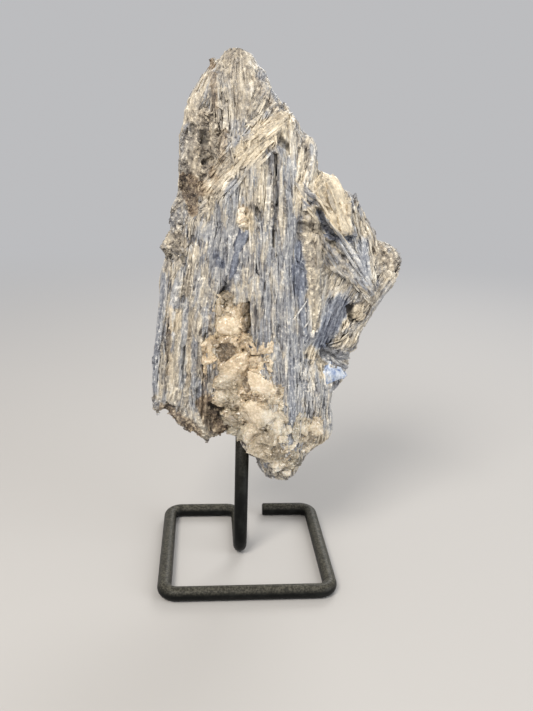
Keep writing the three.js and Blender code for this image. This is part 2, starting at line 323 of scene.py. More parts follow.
# Blocks of quartz: centre, (width, height over the slab, length), lean in degrees.
FRONT_QUARTZ = [
    ((-20.4, 112.0), (9.0, 0.6, 9), 4),
    ((-20.6, 119.5), (7.0, -1.2, 8), -6),
    ((-23.6, 114.0), (4, 0.5, 10), 8),
    ((-16.6, 116.5), (3.4, 1.0, 9), 4),
    ((-14.8, 107.0), (6, 0.6, 5), 20),
    ((-20.0, 106.0), (9, 0.2, 4), 10),
    ((-27.2, 98.0), (5, 1.0, 15), 4),
    ((-20.5, 100.0), (11, -1.8, 10), 0),
    ((-16.5, 92.5), (12, 2.8, 15), -42),
    ((-20.5, 88.0), (10, 1.8, 9), 20),
    ((-8.0, 102.5), (10, 1.0, 8), -10),
    ((-4.5, 96.0), (5, 1.4, 10), 6),
    ((-10.0, 94.0), (4, -0.6, 9), 0),
    ((-6.0, 87.0), (9, 1.8, 13), 10),
    ((-1.5, 84.0), (7, 1.2, 10), -14),
    ((-15.0, 80.5), (13, 1.2, 7), -20),
    ((-22.5, 80.5), (7, 1.0, 7), 30),
    ((-8.0, 75.5), (12, 1.8, 9), -10),
    ((-15.5, 72.0), (11, 1.2, 9), -14),
    ((-8.5, 67.0), (10, 1.5, 10), 30),
    ((0.5, 72.0), (8, 1.6, 18), 2),
    ((-14.0, 64.5), (10, 0.9, 8), -34),
    ((-5.5, 59.0), (11, 1.1, 9), -36),
    ((2.0, 60.5), (8, 1.0, 12), -8),
    ((11.0, 69.5), (7, 1.0, 10), 10),
    ((16.5, 66.0), (8, 1.3, 9), -20),
    ((12.5, 60.0), (10, 0.9, 8), 34),
    ((3.5, 51.5), (9, 0.5, 7), 14),
    ((8.0, 50.0), (7, 0.4, 8), -30),
    ((-1.0, 52.5), (6, 0.6, 6), -20),
    ((-3.6, 65.8), (8, 1.3, 8), 15),
    ((5.0, 57.0), (7, 1.0, 8), 40),
    ((-12.0, 86.5), (6, 0.6, 7), -15),
]

# Hollows in the front's quartz: from, to, half-width, depth.
QUARTZ_HOLLOWS = [
    ((-22.4, 103.5), (-20.2, 99.5), 5.0, -2.6),
    ((-12.6, 94.0), (-12.2, 89.0), 1.8, -1.8),
]

# The rounded knob at the vein's upper end, the rim of the hollow over it and the low blocks beside it.
FRONT_KNOB = [
    ((-19.9, 111.6), (9.0, 2.0, 8.4), 4),
    ((-23.6, 118.6), (2.6, 1.6, 7.4), 10),
    ((-20.6, 124.0), (6.2, 1.5, 3.0), -8),
    ((-16.9, 118.6), (3.6, 1.8, 8.0), -4),
    ((-20.6, 106.6), (6.0, 1.4, 3.2), 12),
    ((-13.2, 119.4), (3.4, 0.9, 6.4), 8),
    ((-13.6, 113.4), (3.8, 0.9, 7.0), -8),
]

# A nodule of its own, higher up.
FRONT_NODULES = [
    ((-15.0, 154.6), (3.6, 2.6, 4.6), 10),
    ((-14.0, 151.6), (3.0, 2.2, 3.0), -20),
    ((-16.2, 157.6), (2.6, 2.0, 2.6), 30),
]

# The small pocket of quartz on the back.
BACK_QUARTZ = [
    ((-27.5, 107.0), (6, 0.6, 8), 12),
    ((-24.0, 101.5), (8, 1.2, 7), -24),
    ((-29.0, 97.0), (6, 0.8, 9), 20),
    ((-22.5, 93.5), (9, 1.4, 6), 34),
    ((-27.0, 89.0), (6, 0.9, 6), -30),
    ((-20.5, 86.5), (6, 0.7, 6), -6),
]

# The small clear blue crystal at the wing's foot.
BLUE_BLOCKS = [
    ((25.2, 88.0), (7.0, 2.4, 8.5), 38),
    ((22.6, 90.6), (4.6, 2.0, 5.5), 30),
]

# Listed blades: start, end, width, height over the surface, bow, lightness.
FRONT_SPLINTERS = [
    ((9, 166), (36, 129.5), 2.6, 0.9, -1.2, 0.2),
    ((12, 162.5), (38.5, 126.5), 2.0, 1.3, -1.0, 0.8),
    ((10, 160.5), (33, 128.5), 1.6, 0.9, -0.6, -0.6),
    ((15, 154), (37, 125), 1.5, 1.0, -0.5, 0.9),
    ((16, 151), (33, 127), 1.2, 0.7, -0.4, -0.3),
    ((8, 167), (18, 152), 1.8, 0.9, 0.6, 0.1),
    ((12, 166), (20, 151), 1.4, 0.6, 0.5, -0.9),
    ((23, 146), (34, 131), 1.1, 1.2, 0.3, 1.0),
    ((-17, 175.5), (1.5, 191), 1.8, 1.0, 0.6, 1.2),
    ((-14, 175), (2.5, 188.5), 1.6, 1.2, 0.5, 1.4),
    ((-12.5, 173), (-1, 183.5), 1.5, 0.9, 0.4, 1.1),
    ((-20, 176.5), (-3, 191.5), 1.3, 0.7, 0.6, 0.7),
    ((-29, 162), (-15, 178), 1.7, 0.8, 0.7, 0.9),
    ((-27.5, 166), (-14, 182), 1.3, 0.8, 0.6, 1.1),
    ((-24, 160), (-12.5, 175), 1.4, 0.6, 0.5, 0.2),
    ((4.6, 114.6), (10.8, 122), 0.7, 0.9, 0.3, 2.4),
    ((9.6, 110.2), (12.8, 115), 0.6, 0.9, 0.2, 2.4),
    ((19.5, 102), (26, 119), 2.0, 0.5, 0.3, -1.0),
    ((21.5, 101.5), (28.5, 118), 1.8, 0.6, 0.4, -1.1),
    ((18, 105), (23, 120), 1.6, 0.4, 0.2, -0.6),
    ((24, 101), (31.5, 115), 1.2, 0.5, 0.5, -0.4),
    ((22, 99.5), (30.5, 105), 0.6, 0.8, 0.8, 2.2),
    ((23, 98), (32, 103), 0.55, 0.8, 1.0, 2.4),
    ((24, 96.8), (32.5, 101), 0.55, 0.7, 1.0, 2.0),
    ((22, 101.8), (31, 108), 0.55, 0.7, 0.7, 1.8),
    ((25, 95.5), (33, 99), 0.5, 0.6, 0.9, 1.8),
    ((21.5, 103.5), (29.5, 110.5), 0.5, 0.6, 0.6, 1.6),
    ((19, 95.5), (25, 99.5), 0.5, 0.6, 0.5, 1.6),
    ((5.2, 98), (6.9, 66), 1.1, 0.4, 0.5, -0.7),
    ((-6, 178), (-6.6, 150), 1.7, 0.7, 0.3, 0.4),
    ((-1.4, 178), (-0.6, 148), 1.8, 0.8, 0.3, 0.6),
    ((-12, 178), (-12.6, 160), 1.6, 0.5, 0.2, 0.3),
    ((-15.0, 149.5), (-17.4, 140.5), 4.6, 0.6, 0.2, -2.4),
    ((-16.6, 143), (-19.6, 131.5), 4.2, 0.6, 0.2, -2.4),
    ((-13.4, 150.5), (-14.8, 144.5), 2.4, 0.6, 0.1, -2.2),
    ((-24, 150), (-26.5, 133), 2.0, 0.3, 0.4, -1.0),
    ((6.6, 146), (7.0, 138), 2.6, 0.5, 0.2, -1.6),
    ((5.6, 139), (8.0, 127), 4.6, 0.7, 0.2, -2.0),
    ((9.4, 134), (9.8, 122), 2.6, 0.4, 0.2, -1.4),
    ((8.4, 128), (11.2, 108), 4.2, 0.6, 0.3, -1.7),
    ((12.2, 120), (13.4, 104), 2.4, 0.4, 0.3, -1.2),
    ((33.6, 145), (35, 132), 2.6, 0.5, 0.2, -1.4),
    ((15.2, 153), (19.6, 144), 2.2, 0.6, 0.2, -1.8),
    ((-31.4, 109), (-31, 72), 1.1, 0.7, 0.3, 0.3),
    ((-43.4, 112), (-46.2, 84), 1.2, 0.5, -0.4, 0.8),
    ((-17, 212), (-15.5, 194), 1.1, 0.4, 0.2, 1.4),
    ((-20.5, 212), (-20.5, 192), 1.3, 0.4, 0.2, -0.5),
    ((34, 148), (38, 130), 1.6, 0.5, 0.3, -1.0),
]

BACK_SPLINTERS = [
    ((-10, 152), (14, 178), 2.2, 1.0, 0.8, 0.9),
    ((-7, 149), (16, 173), 1.8, 1.3, 0.7, 1.2),
    ((-4, 147), (15, 166), 1.6, 0.8, 0.6, -0.4),
    ((14, 160), (44, 141), 2.2, 0.9, 0.9, 0.7),
    ((16, 156), (43, 137), 1.8, 0.7, 0.8, -0.8),
    ((-20, 184), (-17, 140), 2.2, 0.8, 0.5, -1.2),
    ((-12, 178), (-11, 132), 1.8, 0.7, 0.5, 0.8),
    ((-36, 186), (-40, 146), 2.0, 0.6, -0.5, 0.6),
    ((4, 98), (6, 54), 2.0, 0.7, 0.4, -0.9),
    ((9, 96), (12, 58), 1.6, 0.6, 0.4, 0.9),
    ((24, 92), (36, 118), 1.9, 0.6, 0.5, -0.8),
    ((-43, 116), (-46, 80), 1.7, 0.6, 0.4, 0.7),
]


# The quartz of the two sides: name, blocks, small blocks, side and seed. The front is side -1.
QUARTZ_SIDES = (("front", FRONT_QUARTZ, 120, -1, 5), ("back", BACK_QUARTZ, 24, 1, 6))
KNOB_ROUNDNESS = 0.55

# ------------------------------------------------------------------ numbers and noise

def smooth_step(x, low, high):
    """0 at low, 1 at high, and a soft step between them."""
    t = np.clip((x - low) / (high - low), 0, 1)
    return t * t * (3 - 2 * t)


def hash_unit(cell, seed):
    """A repeatable number from 0 to 1 for each whole-number cell (n, 3)."""
    c = cell.astype(np.int64)
    h = c[:, 0] * 73856093 ^ c[:, 1] * 19349663 ^ c[:, 2] * 83492791 ^ (seed * 2654435761)
    h = (h ^ (h >> 13)) * 1274126177 & 0xFFFFFFFF
    h = (h ^ (h >> 16)) * 668265263 & 0xFFFFFFFF
    return ((h ^ (h >> 15)) & 0xFFFFFF) / float(0x1000000)


def value_noise(p, seed):
    """Smooth noise from -1 to 1 at the points p (n, 3), one unit to a cell."""
    base = np.floor(p)
    f = p - base
    w = f * f * (3 - 2 * f)
    total = np.zeros(len(p))
    for dx in (0, 1):
        for dy in (0, 1):
            for dz in (0, 1):
                corner = base + (dx, dy, dz)
                share = (
                    np.abs(1 - dx - w[:, 0]) * np.abs(1 - dy - w[:, 1]) * np.abs(1 - dz - w[:, 2])
                )
                total += share * hash_unit(corner, seed)
    return total * 2 - 1


def rough_noise(p, seed, octaves=3):
    """Several octaves of value noise."""
    total = np.zeros(len(p))
    for i in range(octaves):
        total += value_noise(p * 2.03**i, seed + i) * 0.5**i
    return total


def cell_noise(p, seed):
    """Splits space into cells: each point's cell number (0 to 1), the next cell's, the way from its cell's
    seed to the point, and how near the border it is."""
    base = np.floor(p)
    nearest = np.full(len(p), 9.0)
    second = np.full(len(p), 9.0)
    number = np.zeros(len(p))
    next_number = np.zeros(len(p))
    offset = np.zeros((len(p), 3))
    for dx in (-1, 0, 1):
        for dy in (-1, 0, 1):
            for dz in (-1, 0, 1):
                cell = base + (dx, dy, dz)
                seat = np.stack([hash_unit(cell, seed + k) for k in (1, 2, 3)], 1)
                away = p - cell - seat
                distance = np.linalg.norm(away, axis=1)
                own = hash_unit(cell, seed)
                closer = distance < nearest
                beside = ~closer & (distance < second)
                next_number = np.where(closer, number, np.where(beside, own, next_number))
                second = np.where(closer, nearest, np.where(beside, distance, second))
                number = np.where(closer, own, number)
                offset = np.where(closer[:, None], away, offset)
                nearest = np.where(closer, distance, nearest)
    return number, next_number, offset, second - nearest


def stepped(p, seed, lean):
    """Cells as leaning steps, from about -0.5 to 0.5, with soft borders, and a mask of those borders."""
    number, next_number, offset, edge = cell_noise(p, seed)
    blend = 0.5 + 0.5 * smooth_step(edge, 0.0, 0.14)
    step = next_number + (number - next_number) * blend - 0.5
    tilt = np.sin(number * 91.7) * offset[:, 0] + np.sin(number * 57.3) * 0.5 * offset[:, 1]
    return step + lean * tilt * smooth_step(edge, 0.0, 0.3), 1 - smooth_step(edge, 0.0, 0.12)


def distance_to_segment(x, z, start, end):
    """How far the points (x, z) are from the straight line between two places."""
    a = np.array(start, float)
    d = np.array(end, float) - a
    t = np.clip(((x - a[0]) * d[0] + (z - a[1]) * d[1]) / (d @ d), 0, 1)
    return np.hypot(x - a[0] - t * d[0], z - a[1] - t * d[1])


# ------------------------------------------------------------------ reading the layout

class Layout:
    """Answers, for points on the crystal in millimetres, which zone they are in and what marks they bear."""

    def __init__(self, zones, carving, tints, seed):
        _names, self.starts, self.ends, self.half_widths, height, width, length, habit = zip(*zones)
        self.carving = carving
        self.tints = tints
        self.seed = seed
        self.direction = np.array([self.unit(start, end) for start, end in zip(self.starts, self.ends)])
        self.height = np.array(height)
        self.width = np.array(width)
        self.length = np.array(length, float)
        self.habit = np.array(habit)

    @staticmethod
    def unit(start, end):
        """The upward direction of growth from one point of the broad face to another."""
        d = np.array([end[0] - start[0], 0.0, end[1] - start[1]])
        return d / np.linalg.norm(d) * (1 if d[2] > 0 else -1)

    def zone_at(self, p):
        """The number of the zone that each point is in, with ragged borders."""
        ragged = 1.4 * value_noise(p / (3.0, 3.0, 9.0), self.seed)
        best = np.full(len(p), -1e9)
        number = np.zeros(len(p), int)
        for i, (start, end, half) in enumerate(zip(self.starts, self.ends, self.half_widths)):
            distance = distance_to_segment(p[:, 0], p[:, 2], start, end)
            score = 1 - (distance + ragged * (1 if i % 2 else -1)) / half
            number = np.where(score > best, i, number)
            best = np.maximum(best, score)
        return number

    def carved(self, p):
        """How far the marks in the layout raise or sink the surface at each point."""
        wobble = 0.35 * value_noise(p / (1.5, 1.5, 2.5), self.seed + 9)
        total = np.zeros(len(p))
        for start, end, half, height in self.carving:
            distance = distance_to_segment(p[:, 0], p[:, 2], start, end) + wobble
            total += height * (1 - smooth_step(distance, 0.3 * half, half))
        return total

    def tint_at(self, p):
        """The four tints' strengths at each point."""
        wobble = value_noise(p / (1.2, 1.2, 4.0), self.seed + 17)
        wobble += 0.6 * value_noise(p / (0.6, 0.6, 2.0), self.seed + 18)
        tint = np.zeros((len(p), 4))
        for which, start, end, half, strength in self.tints:
            distance = distance_to_segment(p[:, 0], p[:, 2], start, end)
            reach = distance + wobble * 0.3 * min(half, 3.5)
            core = 0.7 if strength > 0.5 else 0.35
            mark = strength * (1 - smooth_step(reach, core * half, 1.08 * half))
            tint[:, which] = np.maximum(tint[:, which], mark)
        return tint


FRONT = Layout(FRONT_ZONES, FRONT_CARVING, FRONT_TINTS, 11)
BACK = Layout(BACK_ZONES, BACK_CARVING, BACK_TINTS, 53)


def middle_layer(x):
    """Where the slab's middle layer lies in y: the right wing and the left side lie further back."""
    return 5 * smooth_step(x, 8, 44) + 1.5 * (1 - smooth_step(x, -46, -30))


def by_side(p, read):
    """Reads each point from its own side's layout. read(layout, points) gives one row for each point."""
    ragged = 3.0 * value_noise(p / (7, 7, 11), 19) + 1.2 * value_noise(p / (2, 2, 4), 20)
    is_front = p[:, 1] < middle_layer(p[:, 0]) + ragged
    front = np.asarray(read(FRONT, p))
    back = np.asarray(read(BACK, p))
    choice = is_front.reshape((-1,) + (1,) * (front.ndim - 1))
    return np.where(choice, front, back)


def of_zone(p, value):
    """The direction, height, width, length or habit of the zone that each point is in."""
    return by_side(p, lambda layout, q: getattr(layout, value)[layout.zone_at(q)])


def fibre_frame(direction):
    """For each growth direction (n, 3), the two directions across it."""
    depth = np.tile([0.0, 1.0, 0.0], (len(direction), 1))
    across = np.cross(depth, direction)
    across /= np.linalg.norm(across, axis=1)[:, None]
    return across, np.cross(direction, across)


def fibre_coordinates(p, direction, zone):
    """Coordinates across, through and along the blades, which wave a little on their way up."""
    across, through = fibre_frame(direction)
    flow = np.stack([(p * across).sum(1), (p * through).sum(1), (p * direction).sum(1)], 1)
    slow, quick = flow / (9, 9, 24), flow / (2.8, 2.8, 6.5)
    flow[:, 0] += 1.2 * value_noise(slow, 61) + 0.5 * value_noise(quick, 62)
    flow[:, 1] += 1.2 * value_noise(slow, 63) + 0.5 * value_noise(quick, 64)
    return flow + (zone * 37.7)[:, None]


def zone_and_flow(p):
    """Each point's zone habit and fibre coordinates."""
    flow = fibre_coordinates(p, of_zone(p, "direction"), by_side(p, Layout.zone_at))
    return of_zone(p, "habit"), flow


# ------------------------------------------------------------------ meshes

def new_object(name, points_mm, faces, material, smooth=False):
    """A mesh object from points in millimetres, riding on the part's only body."""
    mesh = bpy.data.meshes.new(name)
    points = np.asarray(points_mm, np.float32) * np.float32(MM)
    mesh.vertices.add(len(points))
    mesh.vertices.foreach_set("co", points.ravel())
    sizes = np.array([len(face) for face in faces], np.int32)
    corners = np.concatenate(faces).astype(np.int32)
    mesh.loops.add(len(corners))
    mesh.loops.foreach_set("vertex_index", corners)
    mesh.polygons.add(len(sizes))
    mesh.polygons.foreach_set("loop_start", (np.cumsum(sizes) - sizes).astype(np.int32))
    mesh.update(calc_edges=True)
    mesh.validate()
    mesh.polygons.foreach_set("use_smooth", np.full(len(mesh.polygons), smooth))
    mesh.materials.append(material)
    obj = bpy.data.objects.new(name, mesh)
    bpy.context.scene.collection.objects.link(obj)
    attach(obj, "root")
    return obj


def set_attribute(mesh, name, kind, values):
    """Gives each point of a mesh a number, a vector or a colour, for the materials to read."""
    attribute = mesh.attributes.new(name, kind, "POINT")
    key = {"FLOAT": "value", "FLOAT_VECTOR": "vector", "FLOAT_COLOR": "color"}[kind]
    attribute.data.foreach_set(key, np.asarray(values, np.float32).ravel())


def read_vectors(items, key):
    """One vector of each item, as an array (n, 3)."""
    values = np.zeros(len(items) * 3, np.float32)
    items.foreach_get(key, values)
    return values.reshape(-1, 3).astype(float)


def mesh_points(mesh):
    """The mesh's points in millimetres."""
    return read_vectors(mesh.vertices, "co") / MM


def set_points(mesh, points_mm):
    """Moves the mesh's points to places given in millimetres."""
    mesh.vertices.foreach_set("co", (points_mm * MM).astype(np.float32).ravel())
    mesh.update()


def draft_divisor():
    return 1


# ------------------------------------------------------------------ the crystal's body

def remeshed_crystal(voxel):
    """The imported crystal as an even, softened mesh, with cells of the given size in metres."""
    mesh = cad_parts[CRYSTAL].data.copy()
    obj = bpy.data.objects.new("crystal_blank", mesh)
    bpy.context.scene.collection.objects.link(obj)
    remesh = obj.modifiers.new("even", "REMESH")
    remesh.mode = "VOXEL"
    remesh.voxel_size = voxel
    soften = obj.modifiers.new("soften", "SMOOTH")
    soften.factor = 0.5
    soften.iterations = 3
    evaluated = obj.evaluated_get(bpy.context.evaluated_depsgraph_get())
    even = bpy.data.meshes.new_from_object(evaluated)
    bpy.data.objects.remove(obj)
    return even


# Where the post stands, in millimetres.
POST_X = -13.0
POST_Y = -2.0

# Cell sizes across, through and along the fibres, in millimetres: bundles of blades, and strips in them.
BUNDLE = (8.0, 8.0, 70.0)
STRIP = (3.6, 3.6, 30.0)

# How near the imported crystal's box points are pressed back, in millimetres.
PRESS_BAND = 0.9

# The heights where the body is cut in three, in millimetres.
BODY_CUTS = (102.0, 142.0)


def clear_of_post(p):
    """0 at the drilled hole, 1 a few millimetres away from it."""
    return smooth_step(np.hypot(p[:, 0] - POST_X, p[:, 1] - POST_Y), 4.0, 6.5)


def broad_shape(p, normals):
    """The height of the zones, of what is carved in the two faces and of what is broken from the rim."""
    height = of_zone(p, "height")
    swell = 0.5 * value_noise(p / 7.0, 77)
    facing = smooth_step(np.abs(normals[:, 1]), 0.15, 0.55)
    carved = by_side(p, Layout.carved) * facing
    for start, end, half, depth in RIM_BREAKS:
        distance = distance_to_segment(p[:, 0], p[:, 2], start, end) + value_noise(p / 2.5, 44)
        carved += depth * (1 - smooth_step(distance, 0.3 * half, half))
    return height + swell + carved


def mealy_at(p):
    """Where the stone between the blades is mealy, from 0 to 1."""
    return smooth_step(rough_noise(p / (5.0, 5.0, 8.0), 71, 2), -0.02, 0.5)


def fine_shape(p):
    """The blades', grains' and plates' relief."""
    habit, flow = zone_and_flow(p)
    bundle, bundle_edge = stepped(flow / BUNDLE, 2, 1.2)
    broad, broad_edge = stepped(flow / STRIP, 3, 0.9)
    thin, thin_edge = stepped(flow / (1.8, 1.8, 14.0), 8, 0.8)
    strand = 1 - np.abs(value_noise(flow / (1.2, 1.2, 7.0), 12))
    wear = rough_noise(p / 2.4, 15)
    crumb = value_noise(p / 1.1, 18)
    breaks, breaks_edge = stepped(flow / (5.0, 5.0, 7.0), 91, 1.0)
    blades = 1.0 * bundle + 0.75 * broad + 0.4 * thin + 0.2 * strand + 0.3 * wear + 0.14 * crumb
    blades += 0.4 * breaks - 0.12 * breaks_edge
    blades -= 0.34 * bundle_edge + 0.2 * broad_edge + 0.16 * thin_edge
    mealy = mealy_at(p)
    meal = 0.8 * bundle + 0.5 * rough_noise(p / 1.7, 95, 3) + 0.4 * breaks - 0.1 * breaks_edge
    blades = blades * (1 - mealy) + meal * mealy
    lumps = rough_noise(p / 3.4, 21, 4)
    ridges = 1 - np.abs(rough_noise(p / 2.0, 25, 3))
    pits = smooth_step(value_noise(p / 2.7, 29), 0.35, 0.85)
    grains = 0.6 * lumps + 0.55 * ridges - 0.8 * pits - 0.4
    facets, facets_edge = stepped(p / (5.5, 5.5, 8.0), 33, 0.9)
    plate = 0.7 * facets + 0.12 * rough_noise(p / 1.8, 41) - 0.15 * facets_edge
    bedded = -0.9 + 0.3 * wear
    shape = np.select([habit == BLADES, habit == PLATE, habit == GRAINS], [blades, plate, grains], bedded)
    return shape - 0.45


def strip_shade(flow):
    """How light each strip of blades is, from -0.5 to 0.5, in broad and narrow strips."""
    bundle = cell_noise(flow / BUNDLE, 2)[0]
    narrow = cell_noise(flow / STRIP, 3)[0]
    return 0.45 * (bundle * 7.31 % 1) + 0.55 * (narrow * 5.17 % 1) - 0.5


def hold_inside(points):
    """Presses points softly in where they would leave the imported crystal's box."""
    low, high = (np.array(corner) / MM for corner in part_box(CRYSTAL))
    over = np.maximum(points - (high - PRESS_BAND), 0)
    under = np.maximum(low + PRESS_BAND - points, 0)
    press_over = over - PRESS_BAND * (1 - np.exp(-over / PRESS_BAND))
    press_under = under - PRESS_BAND * (1 - np.exp(-under / PRESS_BAND))
    return points - press_over + press_under


# The crystal's smooth surface, as "plain", and the same with its zones and carving, as "broad".
SAMPLERS = {}

# Rays are cast at the crystal from this far in front or behind it, in millimetres.
RAY_START = 60


class SurfaceSampler:
    """Finds places on a mesh, and the mesh's surface near a place. In millimetres."""

    def __init__(self, mesh):
        self.points = mesh_points(mesh)
        mesh.calc_loop_triangles()
        triangles = np.zeros(len(mesh.loop_triangles) * 3, np.int32)
        mesh.loop_triangles.foreach_get("vertices", triangles)
        self.triangles = triangles.reshape(-1, 3)
        self.tree = BVHTree.FromPolygons(self.points.tolist(), self.triangles.tolist())
        a, b, c = (self.points[self.triangles[:, k]] for k in range(3))
        cross = np.cross(b - a, c - a)
        self.area = np.linalg.norm(cross, axis=1) / 2
        self.normal = cross / np.maximum(2 * self.area, 1e-12)[:, None]

    def scatter(self, count, rng):
        """Random places, spread evenly over the surface, with their normals."""
        pick = rng.choice(len(self.area), count, p=self.area / self.area.sum())
        u, v = rng.random(count), rng.random(count)
        flip = u + v > 1
        u, v = np.where(flip, 1 - u, u), np.where(flip, 1 - v, v)
        a, b, c = (self.points[self.triangles[pick, k]] for k in range(3))
        return a + (b - a) * u[:, None] + (c - a) * v[:, None], self.normal[pick]

    def hit_on_side(self, x, z, side):
        """The surface point at (x, z) on the front (side -1) or the back (1), or None."""
        return self.tree.ray_cast(Vector((x, side * RAY_START, z)), Vector((0, -side, 0)))[0]

    def point_on_side(self, x, z, side):
        """The surface point at (x, z) on the front (side -1) or the back (1), or the nearest to it."""
        hit = self.hit_on_side(x, z, side)
        return hit or self.tree.find_nearest(Vector((x, side * 8, z)))[0]

    def nearest(self, p):
        """The nearest surface point to each of p (n, 3)."""
        found = np.empty_like(p)
        for i, q in enumerate(p):
            found[i] = self.tree.find_nearest(Vector(q))[0]
        return found


def slice_between(mesh, low, high):
    """A closed copy of the part of a mesh between two heights, in millimetres."""
    bm = bmesh.new()
    bm.from_mesh(mesh)
    for height, up in ((low, -1), (high, 1)):
        if height is None:
            continue
        geometry = list(bm.verts) + list(bm.edges) + list(bm.faces)
        cut = bmesh.ops.bisect_plane(
            bm, geom=geometry, plane_co=(0, 0, height * MM), plane_no=(0, 0, up), clear_outer=True
        )
        edges = [e for e in cut["geom_cut"] if isinstance(e, bmesh.types.BMEdge)]
        cap = bmesh.ops.triangle_fill(bm, edges=edges, use_beauty=False, normal=(0, 0, up))["geom"]
        for element in cap:
            element.smooth = False
        for edge in edges:
            edge.smooth = False
    piece = mesh.copy()
    bm.to_mesh(piece)
    bm.free()
    return piece


def make_body(context):
    """The body is cut in three while it's smooth. Each piece then takes the relief of the whole."""
    props = context.scene.kyanite_crystal
    mesh = remeshed_crystal(props.body_grain)
    plain = mesh_points(mesh)
    normals = read_vectors(mesh.vertex_normals, "vector")
    SAMPLERS["plain"] = SurfaceSampler(mesh)
    clear = clear_of_post(plain)
    broad = plain + normals * ((broad_shape(plain, normals) - 0.4) * clear)[:, None]
    set_points(mesh, broad)
    SAMPLERS["broad"] = SurfaceSampler(mesh)
    normals = read_vectors(mesh.vertex_normals, "vector")
    relief = fine_shape(broad)
    fine = hold_inside(broad + normals * (relief * clear)[:, None])
    set_points(mesh, plain)
    mesh.polygons.foreach_set("use_smooth", np.full(len(mesh.polygons), True))
    habit, flow = zone_and_flow(broad)
    set_attribute(mesh, "fine", "FLOAT_VECTOR", fine)
    set_attribute(mesh, "fibre", "FLOAT_VECTOR", flow * MM)
    set_attribute(mesh, "tint", "FLOAT_COLOR", by_side(broad, Layout.tint_at))
    # The tone darkens the low relief: painted shade in the crevices between the blades.
    set_attribute(mesh, "tone", "FLOAT", smooth_step(relief, -1.6, 0.6))
    set_attribute(mesh, "rough", "FLOAT", np.where(habit == BLADES, 0.85 * mealy_at(broad), 1.0))
    set_attribute(mesh, "strip", "FLOAT", strip_shade(flow))
    mesh.materials.clear()
    mesh.materials.append(kyanite_material())
    bounds = (None, *BODY_CUTS, None)
    for name, low, high in zip(("body_low", "body_middle", "body_high"), bounds, bounds[1:]):
        piece = slice_between(mesh, low, high)
        piece.name = name
        set_points(piece, read_vectors(piece.attributes["fine"].data, "vector"))
        piece.attributes.remove(piece.attributes["fine"])
        body = bpy.data.objects.new(name, piece)
        context.scene.collection.objects.link(body)
        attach(body, "root")
        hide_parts(CRYSTAL)
    bpy.data.meshes.remove(mesh)


# ------------------------------------------------------------------ blades

# A blade is a run of sections along its length, each with this many corners.
SECTIONS = 6
PROFILE = 6

# How many places of a blade's line are tried on the surface.
TRIED_PLACES = 9

# The columns of the front's blades, and the height that splits the back's, in millimetres.
MIDDLE_START = -19
WING_START = 10
BACK_SPLIT = 128


def place_blades(sampler, count, rng, keep):
    """Random blades on the surface: a dict of one array for each of their sizes."""
    place, normal = sampler.scatter(count, rng)
    habit = of_zone(place, "habit")
    chance = np.select([habit == BLADES, habit == PLATE], [1 - 0.75 * mealy_at(place), 0.1], 0.0)
    ok = (rng.random(count) < chance) & keep(place)
    ok &= clear_of_post(place) > 0.99
    place, normal = place[ok], normal[ok]
    n = len(place)
    direction = of_zone(place, "direction") + rng.normal(0, 0.045, (n, 3)) * (1, 0.4, 1)
    along = direction - normal * (direction * normal).sum(1)[:, None]
    flat = np.linalg.norm(along, axis=1)
    along /= np.maximum(flat, 1e-6)[:, None]
    blades = {
        "place": place,
        "normal": normal,
        "along": along,
        "across": np.cross(along, normal),
        "width": of_zone(place, "width") * rng.lognormal(-0.1, 0.42, n),
        "length": of_zone(place, "length") * rng.uniform(0.22, 0.85, n),
        "height": rng.gamma(1.7, 0.11, n) - 0.12,
        "tilt": rng.normal(0, 0.24, n),
        "tone": rng.normal(0, 1, n),
        "bow": rng.normal(0, 0.3, n),
    }
    return {key: value[flat > 0.45] for key, value in blades.items()}


def fit_blades(sampler, blades):
    """Trims each blade to the part of its line that lies on the surface, and finds its sections' places."""
    middle = TRIED_PLACES // 2
    t = np.linspace(-0.5, 0.5, TRIED_PLACES)
    n = len(blades["place"])
    line = blades["place"][:, None] + blades["along"][:, None] * (blades["length"][:, None] * t)[:, :, None]
    tried = line.reshape(-1, 3)
    gap = sampler.nearest(tried).reshape(line.shape) - line
    rise = (gap * blades["normal"][:, None]).sum(2)
    slide = np.linalg.norm(gap - blades["normal"][:, None] * rise[:, :, None], axis=2)
    carved = by_side(tried, Layout.carved).reshape(rise.shape)
    habit = of_zone(tried, "habit").reshape(rise.shape)
    fits = (slide < 0.7) & (np.abs(rise) < 1.6) & (np.abs(carved - carved[:, middle, None]) < 0.7)
    fits &= (habit != QUARTZ) & (clear_of_post(tried) > 0.5).reshape(rise.shape)
    first = np.full(n, middle)
    last = np.full(n, middle)
    for i in range(middle - 1, -1, -1):
        first = np.where(fits[:, i] & (first == i + 1), i, first)
    for i in range(middle + 1, TRIED_PLACES):
        last = np.where(fits[:, i] & (last == i - 1), i, last)
    ok = fits[:, middle] & (last - first >= 2)
    kept = {key: value[ok] for key, value in blades.items()}
    start, end = t[first[ok]], t[last[ok]]
    u = np.linspace(0, 1, SECTIONS)
    spot = start[:, None] + (end - start)[:, None] * u
    line = kept["place"][:, None] + kept["along"][:, None] * (kept["length"][:, None] * spot)[:, :, None]
    line += kept["across"][:, None] * (kept["bow"][:, None] * 4 * u * (1 - u))[:, :, None]
    near = sampler.nearest(line.reshape(-1, 3)).reshape(line.shape)
    rise = ((near - line) * kept["normal"][:, None]).sum(2)
    centred = u - 0.5
    slope = (rise * centred).sum(1) / (centred**2).sum()
    straight = rise.mean(1)[:, None] + slope[:, None] * centred
    rise = straight + 0.7 * (rise - straight)
    kept["sections"] = line + kept["normal"][:, None] * rise[:, :, None]
    return kept


